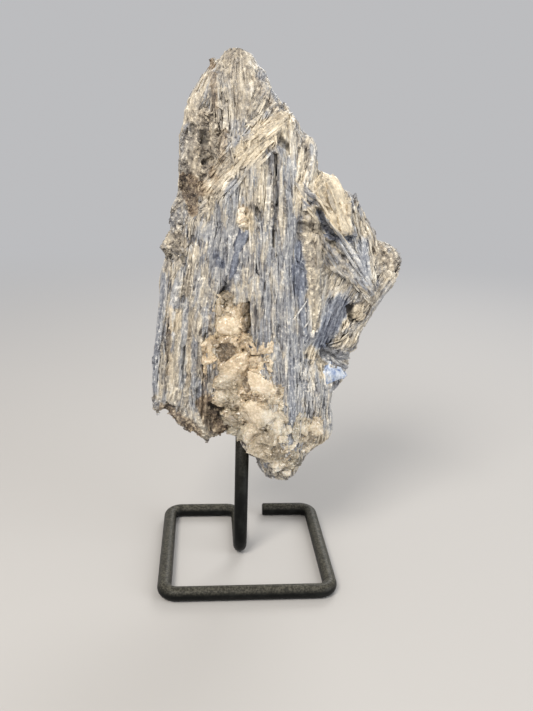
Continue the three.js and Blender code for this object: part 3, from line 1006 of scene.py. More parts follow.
def lay_blades(sampler, splinters, is_front, rng):
    """Listed blades as a dict like place_blades gives: start, end, width, height, bow, tone."""
    side = -1 if is_front else 1
    rows = []
    for start, end, width, height, bow, tone in splinters:
        ends = [np.array(sampler.point_on_side(x, z, side)) for x, z in (start, end)]
        along = ends[1] - ends[0]
        length = np.linalg.norm(along)
        along /= length
        place = (ends[0] + ends[1]) / 2
        normal = np.array((0, side, 0)) - along * side * along[1]
        normal /= np.linalg.norm(normal)
        rows.append((place, normal, along, np.cross(along, normal), width, length, height, 0, tone, bow))
    keys = ("place", "normal", "along", "across", "width", "length", "height", "tilt", "tone", "bow")
    blades = {key: np.array([row[i] for row in rows], float) for i, key in enumerate(keys)}
    blades["tilt"] = rng.normal(0, 0.15, len(rows))
    return blades


def blade_mesh(blades, rng, ragged):
    """Points, quads and heights over the surface (0 to 1) of all the blades, joined."""
    n = len(blades["place"])
    u = np.linspace(0, 1, SECTIONS)[None]
    width = blades["width"][:, None] * (1 + ragged * rng.normal(size=(n, SECTIONS)))
    point_start = rng.uniform(0, 1, (n, 1))
    point_end = rng.uniform(0, 1, (n, 1))
    width = width * (1 - 0.8 * point_start * (1 - u) ** 3 - 0.8 * point_end * u**3)
    sink = 0.9 * rng.uniform(0, 1, (n, 1))
    sink_end = 0.9 * rng.uniform(0, 1, (n, 1))
    height = blades["height"][:, None] - sink * (1 - u) ** 4 - sink_end * u**4
    slope = np.tan(blades["tilt"])[:, None]
    left = 0.5 * width
    chamfer_a = width * rng.uniform(0.1, 0.4, (n, 1))
    chamfer_b = width * rng.uniform(0.1, 0.4, (n, 1))
    depth = -(0.9 + 0.3 * width)
    drop_a = rng.uniform(0.08, 0.35, (n, 1))
    drop_b = rng.uniform(0.08, 0.35, (n, 1))
    side = np.stack([-left, -left, -left + chamfer_a, left - chamfer_b, left, left], 2)
    rough = 0.05 * rng.normal(size=(n, SECTIONS, 4))
    top = np.stack(
        [
            depth,
            height - drop_a * width - slope * left + rough[:, :, 0],
            height - slope * (left - chamfer_a) + rough[:, :, 1],
            height + slope * (left - chamfer_b) + rough[:, :, 2],
            height - drop_b * width + slope * left + rough[:, :, 3],
            depth,
        ],
        2,
    )
    skew = rng.normal(0, 0.7, (n, 1)) * np.array([1] + [0] * (SECTIONS - 2) + [1])[None]
    lead = side * skew[:, :, None]
    points = (
        blades["sections"][:, :, None]
        + blades["across"][:, None, None] * side[..., None]
        + blades["normal"][:, None, None] * top[..., None]
        + blades["along"][:, None, None] * lead[..., None]
    )
    quads = []
    for s in range(SECTIONS - 1):
        for k in range(PROFILE):
            nxt = (k + 1) % PROFILE
            a, b = s * PROFILE + k, s * PROFILE + nxt
            quads.append((a, b, b + PROFILE, a + PROFILE))
    start_cap = [(0, 5, 4, 1), (1, 4, 3, 2)]
    last = (SECTIONS - 1) * PROFILE
    end_cap = [(last, last + 1, last + 4, last + 5), (last + 1, last + 2, last + 3, last + 4)]
    one = np.array(quads + start_cap + end_cap)
    faces = (one[None] + (np.arange(n) * SECTIONS * PROFILE)[:, None, None]).reshape(-1, 4)
    # The heights darken each blade's sunken sides and ends through the tone: painted shade.
    return hold_inside(points.reshape(-1, 3)), faces, smooth_step(top.ravel(), -1.0, 0.35)


def add_blades(name, blades, rng, material, is_laid=False):
    """The blades as one piece. Listed blades are smoother, and the darkest are blue."""
    points, faces, height = blade_mesh(blades, rng, 0.04 if is_laid else 0.12)
    obj = new_object(name, points, faces, material)
    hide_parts(CRYSTAL)
    per_blade = SECTIONS * PROFILE
    place = np.repeat(blades["place"], per_blade, 0)
    flow = fibre_coordinates(points, of_zone(place, "direction"), by_side(place, Layout.zone_at))
    set_attribute(obj.data, "strip", "FLOAT", strip_shade(flow))
    flow[:, 1] += np.repeat(rng.uniform(0, 2, len(blades["place"])), per_blade)
    set_attribute(obj.data, "fibre", "FLOAT_VECTOR", flow * MM)
    tint = by_side(points, Layout.tint_at)
    lightness = np.repeat(blades["tone"], per_blade)
    if is_laid:
        tint[:, BLUE] = np.maximum(tint[:, BLUE], 0.75 * smooth_step(-lightness, 0.8, 1.8))
    set_attribute(obj.data, "tint", "FLOAT_COLOR", tint)
    # The tone: painted shade on the blades' sunken sides, from their heights, with each blade's own random
    # lightness.
    set_attribute(obj.data, "tone", "FLOAT", np.clip(height + 0.12 * lightness, -0.2, 1.2))
    set_attribute(obj.data, "rough", "FLOAT", 0.5 * mealy_at(points))


def make_blades(context):
    """The scattered blades, in five groups with a share of the count each, and the listed ones."""
    sampler = SAMPLERS["broad"]
    material = kyanite_material()
    count = context.scene.kyanite_crystal.blade_count // draft_divisor()

    def front(p):
        return p[:, 1] < middle_layer(p[:, 0])

    groups = {
        "blades_left": (1.7, lambda p: front(p) & (p[:, 0] < MIDDLE_START)),
        "blades_middle": (1.5, lambda p: front(p) & (p[:, 0] >= MIDDLE_START) & (p[:, 0] < WING_START)),
        "blades_wing": (1.5, lambda p: front(p) & (p[:, 0] >= WING_START)),
        "blades_back_low": (0.78, lambda p: ~front(p) & (p[:, 2] < BACK_SPLIT)),
        "blades_back_high": (0.78, lambda p: ~front(p) & (p[:, 2] >= BACK_SPLIT)),
    }
    for seed, (name, (share, keep)) in enumerate(groups.items(), 100):
        rng = np.random.default_rng(seed)
        blades = place_blades(sampler, int(count * share), rng, keep)
        add_blades(name, fit_blades(sampler, blades), rng, material)
    laid = (("splinters_front", FRONT_SPLINTERS, True), ("splinters_back", BACK_SPLINTERS, False))
    for name, splinters, is_front in laid:
        rng = np.random.default_rng(len(splinters))
        blades = lay_blades(sampler, splinters, is_front, rng)
        add_blades(name, fit_blades(sampler, blades), rng, material, is_laid=True)


# ------------------------------------------------------------------ materials
#
# The stones' colours go from dark to light: each stop is a position and a screen colour.

WARM_STONE = (
    (0.00, 0x443C36), (0.22, 0x7D756B), (0.42, 0xA39B8F),
    (0.62, 0xC4B9A6), (0.82, 0xE0D5C0), (1.00, 0xFAF2E2),
)
SLATE = ((0.00, 0x3A3B40), (0.25, 0x69696E), (0.50, 0x929397), (0.75, 0xB7B6B4), (1.00, 0xE8E3DA))
DEEP_BLUE = ((0.00, 0x2B2F3C), (0.40, 0x595F70), (0.75, 0x8F95A1), (1.00, 0xD7D8D9))
RUST_BROWN = ((0.00, 0x241B15), (0.30, 0x665545), (0.60, 0x9C8971), (1.00, 0xDCCBAE))
CREAM_QUARTZ = ((0.05, 0x594C3A), (0.25, 0x98866E), (0.42, 0xC3AE90), (0.60, 0xE0CCAD), (0.85, 0xFAF0DE))
SMOKY_QUARTZ = ((0.05, 0x504A3F), (0.22, 0x8C8371), (0.40, 0xB5AB97), (0.62, 0xD7CFBF), (0.85, 0xF9F5EC))
CLEAR_BLUE = ((0.30, 0x4E6299), (0.40, 0x98A9CB), (0.50, 0xC9D3E2), (0.65, 0xF2F4F6))
# The dark that the shade tint mixes in: painted shade in cracks, pits and hollows, and a darkening over the
# tip and the iron pocket.
SHADE_COLOUR = 0x1E1A18
QUARTZ_GLINT = 0xFFF8EA

# The quartz turns smokier between these heights, in metres.
SMOKE_TOP = 0.092
SMOKE_BOTTOM = 0.062


def rgb(hex_code):
    """A linear colour, with its alpha, from a screen colour such as 0x8090A0."""
    parts = [(hex_code >> shift & 255) / 255 for shift in (16, 8, 0)]
    return (*(c / 12.92 if c <= 0.04045 else ((c + 0.055) / 1.055) ** 2.4 for c in parts), 1)


class Nodes:
    """Short ways to add nodes to a tree and link them. A value can be a number or a socket."""

    def __init__(self, tree):
        self.tree = tree

    def add(self, kind, **settings):
        node = self.tree.nodes.new(kind)
        for key, value in settings.items():
            setattr(node, key, value)
        return node

    def link(self, source, target):
        self.tree.links.new(source, target)

    def put(self, socket, value):
        if isinstance(value, bpy.types.NodeSocket):
            self.link(value, socket)
        else:
            socket.default_value = value

    def total(self, *terms, start=0.0, clamp=False):
        """A weighted sum, from a start. Each term is a value and its weight."""
        result = start
        for value, weight in terms:
            node = self.add("ShaderNodeMath", operation="MULTIPLY_ADD")
            for socket, given in zip(node.inputs, (value, weight, result)):
                self.put(socket, given)
            result = node.outputs[0]
        node.use_clamp = clamp
        return result

    def mix(self, factor, a, b, blend="MIX"):
        node = self.add("ShaderNodeMix", data_type="RGBA", blend_type=blend)
        self.put(node.inputs["Factor"], factor)
        self.put(node.inputs[6], a)
        self.put(node.inputs[7], b)
        return node.outputs[2]

    def ramp(self, factor, stops):
        node = self.add("ShaderNodeValToRGB")
        elements = node.color_ramp.elements
        while len(elements) < len(stops):
            elements.new(0.5)
        for element, (position, hex_code) in zip(elements, stops):
            element.position = position
            element.color = rgb(hex_code)
        self.link(factor, node.inputs[0])
        return node.outputs[0]

    def attribute(self, name):
        return self.add("ShaderNodeAttribute", attribute_name=name)

    def place(self):
        """Where each point is, in the object's own metres."""
        return self.add("ShaderNodeTexCoord").outputs["Object"]

    def upward(self, vector):
        """A vector's Z part."""
        parts = self.add("ShaderNodeSeparateXYZ")
        self.link(vector, parts.inputs[0])
        return parts.outputs["Z"]

    def scaled(self, vector, scale):
        node = self.add("ShaderNodeVectorMath", operation="MULTIPLY")
        self.link(vector, node.inputs[0])
        node.inputs[1].default_value = scale
        return node.outputs[0]

    def noise(self, vector, scale, detail, roughness):
        node = self.add("ShaderNodeTexNoise")
        self.link(vector, node.inputs["Vector"])
        for name, value in (("Scale", scale), ("Detail", detail), ("Roughness", roughness)):
            self.put(node.inputs[name], value)
        return node.outputs[0]

    def spread(self, value, low, high):
        """0 at low, 1 at high, and a soft step between them."""
        node = self.add("ShaderNodeMapRange", interpolation_type="SMOOTHSTEP")
        self.link(value, node.inputs["Value"])
        self.put(node.inputs["From Min"], low)
        self.put(node.inputs["From Max"], high)
        return node.outputs[0]

    def patches(self, vector, scale, detail, roughness, low, high):
        """A mask of soft-edged patches, by the group that the materials share."""
        node = self.add("ShaderNodeGroup", node_tree=patches_group())
        self.link(vector, node.inputs["Vector"])
        for name, value in zip(PATCH_INPUTS, (scale, detail, roughness, low, high)):
            node.inputs[name].default_value = value
        return node.outputs["Mask"]

    def bump(self, shader, height, strength, distance):
        node = self.add("ShaderNodeBump")
        node.inputs["Strength"].default_value = strength
        node.inputs["Distance"].default_value = distance
        self.link(height, node.inputs["Height"])
        self.link(node.outputs[0], shader.inputs["Normal"])


PATCH_INPUTS = ("Scale", "Detail", "Roughness", "Low", "High")


def patches_group():
    """Shader group: soft-edged patches where the noise rises from Low to High. Flecks, painted glints, and
    the patches of painted top light and dust on the steel.
    """
    existing = bpy.data.node_groups.get("patches")
    if existing:
        return existing
    group = bpy.data.node_groups.new("patches", "ShaderNodeTree")
    group.interface.new_socket(name="Vector", in_out="INPUT", socket_type="NodeSocketVector")
    for name in PATCH_INPUTS:
        group.interface.new_socket(name=name, in_out="INPUT", socket_type="NodeSocketFloat")
    group.interface.new_socket(name="Mask", in_out="OUTPUT", socket_type="NodeSocketFloat")
    n = Nodes(group)
    given = n.add("NodeGroupInput").outputs
    noise = n.noise(given["Vector"], given["Scale"], given["Detail"], given["Roughness"])
    n.link(n.spread(noise, given["Low"], given["High"]), n.add("NodeGroupOutput").inputs["Mask"])
    return group


def new_material(name):
    """A material that is only a Principled shader, that shader, and the material's nodes."""
    material = bpy.data.materials.new(name)
    material.use_nodes = True
    material.node_tree.nodes.clear()
    n = Nodes(material.node_tree)
    out = n.add("ShaderNodeOutputMaterial")
    shader = n.add("ShaderNodeBsdfPrincipled")
    n.link(shader.outputs[0], out.inputs[0])
    return material, shader, n


def set_constants(shader, constants):
    """Sets what is the same all over the surface on the shader's own sockets."""
    for name, value in constants.items():
        shader.inputs[name].default_value = value


def kyanite_material():
    """Silky streaks in warm grey, slate and blue, mealy in places, with cream, rust, and painted shade in
    cracks, pits and hollows.
    """
    existing = bpy.data.materials.get("kyanite_silky")
    if existing:
        return existing
    material, shader, n = new_material("kyanite_silky")
    place = n.place()
    fibre = n.attribute("fibre").outputs["Vector"]
    tone, rough, strip = (n.attribute(name).outputs["Fac"] for name in ("tone", "rough", "strip"))
    tint = n.attribute("tint")
    shade = tint.outputs["Alpha"]
    tints = n.add("ShaderNodeSeparateColor")
    n.link(tint.outputs["Color"], tints.inputs[0])
    cream, blue, rust = tints.outputs

    # How light each point is: silky or mealy stone, then patches, grit, the tone (painted shade in low
    # relief and on the blades' sunken sides, with random tone), strips, flecks and tints.
    broad = n.noise(n.scaled(fibre, (620, 620, 85)), 1.0, 4.0, 0.62)
    thin = n.noise(n.scaled(fibre, (1350, 1350, 240)), 1.0, 3.0, 0.65)
    patch = n.noise(n.scaled(fibre, (190, 190, 55)), 1.0, 3.0, 0.6)
    grit = n.noise(place, 850.0, 4.0, 0.7)
    stone = n.add("ShaderNodeMix", data_type="FLOAT")
    n.link(rough, stone.inputs["Factor"])
    n.link(n.total((broad, 1.05), (thin, 1.05)), stone.inputs[2])
    n.link(n.total((n.noise(place, 700.0, 4.0, 0.75), 2.1)), stone.inputs[3])
    streak = stone.outputs[0]
    pale_fleck = n.patches(place, 700.0, 2.0, 0.6, 0.54, 0.68)
    dark_fleck = n.patches(n.scaled(place, (1, 1, 0.5)), 520.0, 3.0, 0.6, 0.56, 0.72)
    level = n.total((streak, 1), (patch, 0.7), (grit, 0.85), (tone, 0.40), (strip, 0.18), start=-1.62)
    level = n.total((pale_fleck, 0.24), (dark_fleck, -0.26), start=level)
    level = n.total((cream, 0.14), (blue, 0.18), (n.spread(blue, 0.4, 0.9), -0.24), start=level)
    short_of_cream = n.total((level, -1), start=0.76)
    level = n.total((n.total((cream, 0.22)), short_of_cream), start=level, clamp=True)

    # The colour: slate over the warm stone, then blue, cream and rust, then the shade tint's dark: painted
    # shade in cracks, pits and hollows, and a darkening over the tip and the iron pocket.
    cool_patch = n.noise(n.scaled(fibre, (300, 300, 70)), 1.0, 3.0, 0.6)
    coolness = n.total((blue, 0.5), (cream, -0.32), (rust, -0.2), (strip, -0.1), start=cool_patch)
    colour = n.mix(n.spread(coolness, 0.40, 0.64), n.ramp(level, WARM_STONE), n.ramp(level, SLATE))
    blueness = n.spread(n.total((broad, 0.5), start=blue), 0.62, 1.15)
    colour = n.mix(blueness, colour, n.ramp(level, DEEP_BLUE))
    warmed = n.mix(1.0, colour, (1.0, 0.95, 0.86, 1), "MULTIPLY")
    colour = n.mix(n.total((cream, 0.9), clamp=True), colour, warmed)
    stain = n.spread(n.total((grit, 0.8), start=rust), 0.62, 1.25)
    colour = n.mix(stain, colour, n.ramp(level, RUST_BROWN))
    n.link(n.mix(n.total((shade, 0.8)), colour, rgb(SHADE_COLOUR)), shader.inputs["Base Color"])

    n.link(n.total((thin, 0.55), (rough, 0.14), start=0.14), shader.inputs["Roughness"])
    set_constants(shader, {"IOR": 1.62})
    n.bump(shader, n.total((grit, 0.5), start=streak), 0.9, 0.0004)
    return material


def quartz_material():
    """Cloudy quartz with painted glints, cream at the top of the vein and smokier below."""
    material, shader, n = new_material("quartz_cloudy")
    place = n.place()
    tone = n.attribute("tone").outputs["Fac"]
    clouds = n.noise(place, 150.0, 4.0, 0.6)
    grit = n.noise(place, 1000.0, 4.0, 0.65)
    # The tone darkens the bed's low places and lightens the blocks that stand higher: painted shade and
    # light by height, with a random spread per block.
    level = n.total((clouds, 0.9), (grit, 0.85), (tone, 0.55), start=-0.74)
    low_down = n.spread(n.upward(place), SMOKE_TOP, SMOKE_BOTTOM)
    smoke = n.patches(n.scaled(place, (1, 1, 0.6)), 75.0, 3.0, 0.5, 0.44, 0.62)
    smoke = n.total((smoke, 0.5), (low_down, 0.5), clamp=True)
    colour = n.mix(smoke, n.ramp(level, CREAM_QUARTZ), n.ramp(level, SMOKY_QUARTZ))
    # Painted glints: near-white specks in the base colour.
    glint = n.patches(place, 900.0, 2.0, 0.5, 0.60, 0.70)
    colour = n.mix(n.total((glint, 0.35)), colour, rgb(QUARTZ_GLINT))
    n.link(colour, shader.inputs["Base Color"])
    n.link(n.total((grit, 0.36), start=0.02), shader.inputs["Roughness"])
    set_constants(shader, {"IOR": 1.54, "Coat Weight": 0.5, "Coat Roughness": 0.05})
    set_constants(shader, {"Subsurface Weight": 0.2, "Subsurface Scale": 0.0014})
    set_constants(shader, {"Subsurface Radius": (1.0, 0.75, 0.5)})
    n.bump(shader, grit, 0.6, 0.0004)
    return material


def clear_blue_material():
    """Slightly clear, pale blue kyanite with deep blue veins."""
    material, shader, n = new_material("kyanite_clear_blue")
    veins = n.noise(n.scaled(n.place(), (500, 500, 160)), 1.0, 4.0, 0.6)
    n.link(n.ramp(veins, CLEAR_BLUE), shader.inputs["Base Color"])
    n.link(n.total((veins, 0.4), start=0.02), shader.inputs["Roughness"])
    set_constants(shader, {"IOR": 1.62, "Transmission Weight": 0.2})
    n.bump(shader, veins, 0.5, 0.0003)
    return material


def steel_material(props):
    """A satin powder coat, rubbed in places, with its upper sides lightened in patches: painted light from
    above, with the look of dust.
    """
    material, shader, n = new_material("black_powder_coat")
    place = n.place()
    wear = n.noise(place, 160.0, 5.0, 0.65)
    colour = n.mix(n.spread(wear, 0.45, 0.75), (*props.coat_colour, 1), (*props.worn_colour, 1))
    # Painted light: the upper sides are lightened towards the top light and dust colour in speckled patches,
    # as if lit from above, with the look of dust.
    facing_up = n.upward(n.add("ShaderNodeNewGeometry").outputs["Normal"])
    top_light_and_dust = n.total((n.spread(facing_up, 0.1, 0.95), 0.9))
    speckle = n.total((n.patches(place, 1100.0, 3.0, 0.7, 0.42, 0.62), 0.65), start=0.3)
    colour = n.mix(n.total((top_light_and_dust, speckle)), colour, (*props.top_light_and_dust_colour, 1))
    n.link(colour, shader.inputs["Base Color"])
    n.link(n.total((wear, 0.3), start=0.28), shader.inputs["Roughness"])
    set_constants(shader, {"Specular IOR Level": 0.14})
    n.bump(shader, n.noise(place, 1400.0, 3.0, 0.55), 0.35, 0.0002)
    return material


# ------------------------------------------------------------------ quartz and grains

def rock_shape(size, rng, corners, bevel=0.0, cuts=0, roundness=0.0):
    """A broken block: the hull of random points near a box's faces. Points in mm, and faces.
    Cuts divide its faces, and the block then takes small chipped facets. Roundness, from 0 to 1,
    draws its corners in towards a ball."""
    seeds = rng.normal(size=(corners, 3))
    seeds /= np.max(np.abs(seeds), axis=1)[:, None] ** 0.75 * np.linalg.norm(seeds, axis=1)[:, None] ** 0.25
    seeds *= 0.5 * rng.uniform(0.82, 1.0, (corners, 1))
    bm = bmesh.new()
    for seed in seeds * np.array(size):
        bm.verts.new(seed)
    hull = bmesh.ops.convex_hull(bm, input=bm.verts)
    loose = [v for v in hull["geom_interior"] + hull["geom_unused"] if isinstance(v, bmesh.types.BMVert)]
    bmesh.ops.delete(bm, geom=list(set(loose)), context="VERTS")
    if bevel:
        edges = list(bm.edges)
        bmesh.ops.bevel(
            bm, geom=edges, offset=bevel, segments=1, affect="EDGES", profile=0.5, clamp_overlap=True
        )
    if cuts:
        bmesh.ops.subdivide_edges(bm, edges=list(bm.edges), cuts=cuts, use_grid_fill=True)
        bm.normal_update()
    bm.verts.ensure_lookup_table()
    bm.verts.index_update()
    points = np.array([v.co for v in bm.verts])
    if cuts:
        normals = np.array([v.normal for v in bm.verts])
        reach = np.linalg.norm(points / (np.array(size) / 2), axis=1)
        points = points * (1 - roundness + roundness * 0.9 / reach)[:, None]
        seat = points + 50 * rng.random(3)
        chips = 0.5 * stepped(seat / (2.6, 2.6, 3.4), 37, 1.5)[0] + 0.22 * rough_noise(seat, 38, 2)
        points = points + normals * chips[:, None] * (1 - 0.6 * roundness)
    faces = [[v.index for v in f.verts] for f in bm.faces]
    bm.free()
    return points, faces


def joined(shapes):
    """The points and faces of many shapes as those of one."""
    points, faces, base = [], [], 0
    for shape_points, shape_faces in shapes:
        points.append(shape_points)
        faces.extend([[i + base for i in f] for f in shape_faces])
        base += len(shape_points)
    return np.concatenate(points), faces


def block_reach(x, z, block):
    """How far the points are from a block's middle: 1 is its border."""
    (cx, cz), (sx, _top, sz), lean = block
    turn = math.radians(lean)
    u = ((x - cx) * math.cos(turn) - (z - cz) * math.sin(turn)) / (sx / 2)
    v = ((x - cx) * math.sin(turn) + (z - cz) * math.cos(turn)) / (sz / 2)
    return np.hypot(u, v)


# The quartz bed's grid, how wide it reaches past the blocks' middles, the depth where it ends, and
# how deep its root goes under it, in millimetres.
QUARTZ_STEP = 0.5
QUARTZ_MARGIN = 9
QUARTZ_FLOOR = -2.2
QUARTZ_ROOT = -4.0


def quartz_heap(gx, gz, blocks, side, seed):
    """The height of the broken quartz over the crystal's plain surface, at each point of a grid."""
    flat = np.stack([gx, np.zeros(len(gx)), gz], 1)
    reach = np.min([block_reach(gx, gz, block) for block in blocks], axis=0)
    reach += 0.22 * rough_noise(flat / 2.6, seed + 4)
    heap = -0.3 - 5 * smooth_step(reach, 1.15, 1.65)
    for size, seat, height in ((5.0, 5, 1.3), (2.2, 6, 0.5), (1.3, 7, 0.3)):
        rubble, _next, offset, _edge = cell_noise(flat / size, seed + seat)
        lean_x, lean_z = np.sin(rubble * 91) * offset[:, 0], np.sin(rubble * 57) * offset[:, 2]
        heap += height * (rubble - 0.5 + 1.2 * (lean_x + lean_z))
    for start, end, half, depth in QUARTZ_HOLLOWS if side < 0 else ():
        sunk = 1 - smooth_step(distance_to_segment(gx, gz, start, end), 0.4 * half, half)
        heap = np.maximum(heap + depth * sunk, np.minimum(heap, QUARTZ_FLOOR + 0.15))
    return heap


def add_quartz_bed(name, blocks, side, seed, material):
    """The broken quartz under the blocks, as one closed piece: a top, a root under it and a wall."""
    places = np.array([block[0] for block in blocks])
    low, high = places.min(0) - QUARTZ_MARGIN, places.max(0) + QUARTZ_MARGIN
    step = QUARTZ_STEP * 1
    xs, zs = np.arange(low[0], high[0], step), np.arange(low[1], high[1], step)
    gx, gz = (g.ravel() for g in np.meshgrid(xs, zs, indexing="ij"))
    heap = quartz_heap(gx, gz, blocks, side, seed)
    y = np.full(len(gx), np.nan)
    for i in np.nonzero(heap > QUARTZ_FLOOR)[0]:
        hit = SAMPLERS["plain"].hit_on_side(gx[i], gz[i], side)
        if hit is not None:
            y[i] = hit.y
    inside = ~np.isnan(y).reshape(len(xs), len(zs))
    cells = inside[:-1, :-1] & inside[1:, :-1] & inside[:-1, 1:] & inside[1:, 1:]
    number = np.arange(len(gx)).reshape(len(xs), len(zs))
    corners = (number[:-1, :-1], number[1:, :-1], number[1:, 1:], number[:-1, 1:])
    quads = np.stack([c[cells] for c in corners], 1)
    if side > 0:
        quads = quads[:, ::-1]
    count = len(gx)
    edges = np.concatenate([quads[:, [k, (k + 1) % 4]] for k in range(4)])
    rim = edges[~np.isin(edges @ (count, 1), edges @ (1, count))]
    wall = np.stack([rim[:, 1], rim[:, 0], rim[:, 0] + count, rim[:, 1] + count], 1)
    faces = np.concatenate([quads, quads[:, ::-1] + count, wall])
    top = np.stack([gx, y + side * heap, gz], 1)
    root = top + (0, side * QUARTZ_ROOT, 0)
    used, faces = np.unique(faces, return_inverse=True)
    points = np.concatenate([top, root])[used]
    obj = new_object(name, hold_inside(points), faces.reshape(-1, 4), material)
    height = np.concatenate([heap, heap])[used]
    # The tone darkens the bed's low places: painted shade.
    set_attribute(obj.data, "tone", "FLOAT", 0.7 * smooth_step(height, QUARTZ_FLOOR, 1.3))
    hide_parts(CRYSTAL)


def add_blocks(name, blocks, small_count, side, seed, material, roundness=0.0):
    """The blocks themselves: broken convex lumps with worn edges, bedded in the surface, and small
    ones scattered about them. Rounded blocks are a little darker."""
    rng = np.random.default_rng(seed)
    shapes, tones = [], []

    def bed(x, z, size, top, turn, corners, bevel, cuts):
        """Makes one block and sinks it until its top is that high over the plain surface."""
        points, faces = rock_shape(size, rng, corners, bevel, cuts, roundness)
        points = points @ np.array(turn.to_matrix()).T
        highest = np.max(points[:, 1] * side)
        y = SAMPLERS["plain"].point_on_side(x, z, side).y + side * (top - highest)
        shapes.append((points + (x, y, z), faces))
        # Blocks that stand higher are lighter: painted light by height, with a random spread; rounded blocks
        # are a little darker.
        tone = rng.normal(0.38 + 0.14 * top, 0.16) - 0.25 * roundness
        tones.append(np.full(len(points), np.clip(tone, 0.0, 0.95)))

    for (x, z), (width, top, length), lean in blocks:
        turn = Euler((rng.normal(0, 0.15), math.radians(lean) * side, rng.normal(0, 0.2)))
        size = (width * 1.4, 2 * top + 8, length * 1.4)
        bed(x, z, size, top, turn, 18, 0.0, 6)
    for _ in range(small_count):
        (x, z), (width, top, length), _lean = blocks[rng.integers(len(blocks))]
        size = rng.uniform(1.8, 5.5) * rng.uniform(0.6, 1.2, 3)
        turn = Euler(rng.uniform(0, 6.28, 3))
        x += rng.uniform(-0.62, 0.62) * width
        z += rng.uniform(-0.62, 0.62) * length
        small_top = rng.uniform(-0.5, 0.6) * abs(top) + min(top, 0) + 0.3
        bed(x, z, size, small_top, turn, 12, 0.1, 0)
    points, faces = joined(shapes)
    obj = new_object(name, hold_inside(points), faces, material)
    set_attribute(obj.data, "tone", "FLOAT", np.concatenate(tones))
    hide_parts(CRYSTAL)


GRAIN_SHAPES = 24


def add_grains(name, count, seed, material):
    """Small weathered grains, sunk in the surface of the zones of that habit."""
    rng = np.random.default_rng(seed)
    place, normal = SAMPLERS["broad"].scatter(count, rng)
    ok = (of_zone(place, "habit") == GRAINS) & (clear_of_post(place) > 0.99)
    place, normal = place[ok], normal[ok]
    shapes = [rock_shape(rng.uniform(0.5, 1.1, 3), rng, 9) for _ in range(GRAIN_SHAPES)]
    parts, tones, tints = [], [], []
    for p, n, tint in zip(place, normal, by_side(place, Layout.tint_at)):
        points, faces = shapes[rng.integers(GRAIN_SHAPES)]
        scale = min(rng.lognormal(0.0, 0.45), 1.9)
        turn = np.array(Euler(rng.uniform(0, 6.28, 3)).to_matrix())
        depth = 0.55 + rng.uniform(-0.1, 0.3) * scale
        parts.append((points * scale @ turn.T + p - n * depth, faces))
        tones.append(np.full(len(points), rng.random()))
        tints.append(np.tile(tint, (len(points), 1)))
    points, faces = joined(parts)
    obj = new_object(name, hold_inside(points), faces, material)
    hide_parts(CRYSTAL)
    set_attribute(obj.data, "tone", "FLOAT", np.concatenate(tones))
    set_attribute(obj.data, "tint", "FLOAT_COLOR", np.concatenate(tints))
    set_attribute(obj.data, "fibre", "FLOAT_VECTOR", points * MM)
    set_attribute(obj.data, "rough", "FLOAT", np.ones(len(points)))
    set_attribute(obj.data, "strip", "FLOAT", np.zeros(len(points)))


# ------------------------------------------------------------------ the stand
#
# How finely the rod and its bends are divided, and the chamfer at its free end, in millimetres.

ROD_SIDES = 40
BEND_STEPS = 14
END_CHAMFER = 0.4


def rod_path(props):
    """The rod's centre line in millimetres: straight runs joined by quarter bends."""
    low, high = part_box(STAND)
    radius = props.rod_radius / MM
    bend = props.bend_radius / MM
    x0, x1 = low.x / MM + radius, high.x / MM - radius
    y0, y1 = low.y / MM + radius, high.y / MM - radius
    on_foot = [(props.free_end / MM, y1), (x1, y1), (x1, y0), (x0, y0), (x0, y1), (POST_X, y1)]
    corners = [(x, y, radius) for x, y in on_foot]
    corners += [(POST_X, POST_Y, radius), (POST_X, POST_Y, high.z / MM)]
    corners = np.array(corners)
    path = [corners[0]]
    for before, corner, after in zip(corners, corners[1:], corners[2:]):
        into = (before - corner) / np.linalg.norm(before - corner)
        out = (after - corner) / np.linalg.norm(after - corner)
        centre = corner + bend * (into + out)
        for i in range(BEND_STEPS + 1):
            angle = math.pi / 2 * i / BEND_STEPS
            path.append(centre - bend * (out * math.cos(angle) + into * math.sin(angle)))
    path.append(corners[-1])
    return np.array(path)


def make_stand(context):
    """A round tube along the rod's path, chamfered at its free end."""
    props = context.scene.kyanite_stand
    path = rod_path(props)
    radius = props.rod_radius / MM
    tangent = np.gradient(path, axis=0)
    tangent[0] = path[1] - path[0]
    tangent[-1] = path[-1] - path[-2]
    tangent /= np.linalg.norm(tangent, axis=1)[:, None]
    angle = np.arange(ROD_SIDES) * 2 * math.pi / ROD_SIDES
    up = np.array([0.0, 0.0, 1.0])
    rings = []
    for point, t in zip(path, tangent):
        up = up - t * (up @ t)
        up /= np.linalg.norm(up)
        side = np.cross(t, up)
        rings.append(point + radius * (np.cos(angle)[:, None] * side + np.sin(angle)[:, None] * up))
    end = path[0] + (rings[0] - path[0]) * (1 - END_CHAMFER / radius)
    rings[0] = rings[0] + tangent[0] * END_CHAMFER
    rings.insert(0, end)
    faces = []
    for i in range(len(rings) - 1):
        for k in range(ROD_SIDES):
            here, beside = i * ROD_SIDES + k, i * ROD_SIDES + (k + 1) % ROD_SIDES
            faces.append((here, beside, beside + ROD_SIDES, here + ROD_SIDES))
    top = (len(rings) - 1) * ROD_SIDES
    faces += [tuple(range(ROD_SIDES))[::-1], tuple(range(top, top + ROD_SIDES))]
    material = steel_material(props)
    stand = new_object("stand_rod", np.concatenate(rings), faces, material, smooth=True)
    for cap in stand.data.polygons[-2:]:
        cap.use_smooth = False
    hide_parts(STAND)


# ------------------------------------------------------------------ the stage
#
# The floor turns into the room's colour between these distances from its middle, in metres.

FLOOR_NEAR = 0.12
FLOOR_FAR = 0.95
FLOOR_SIZE = 40


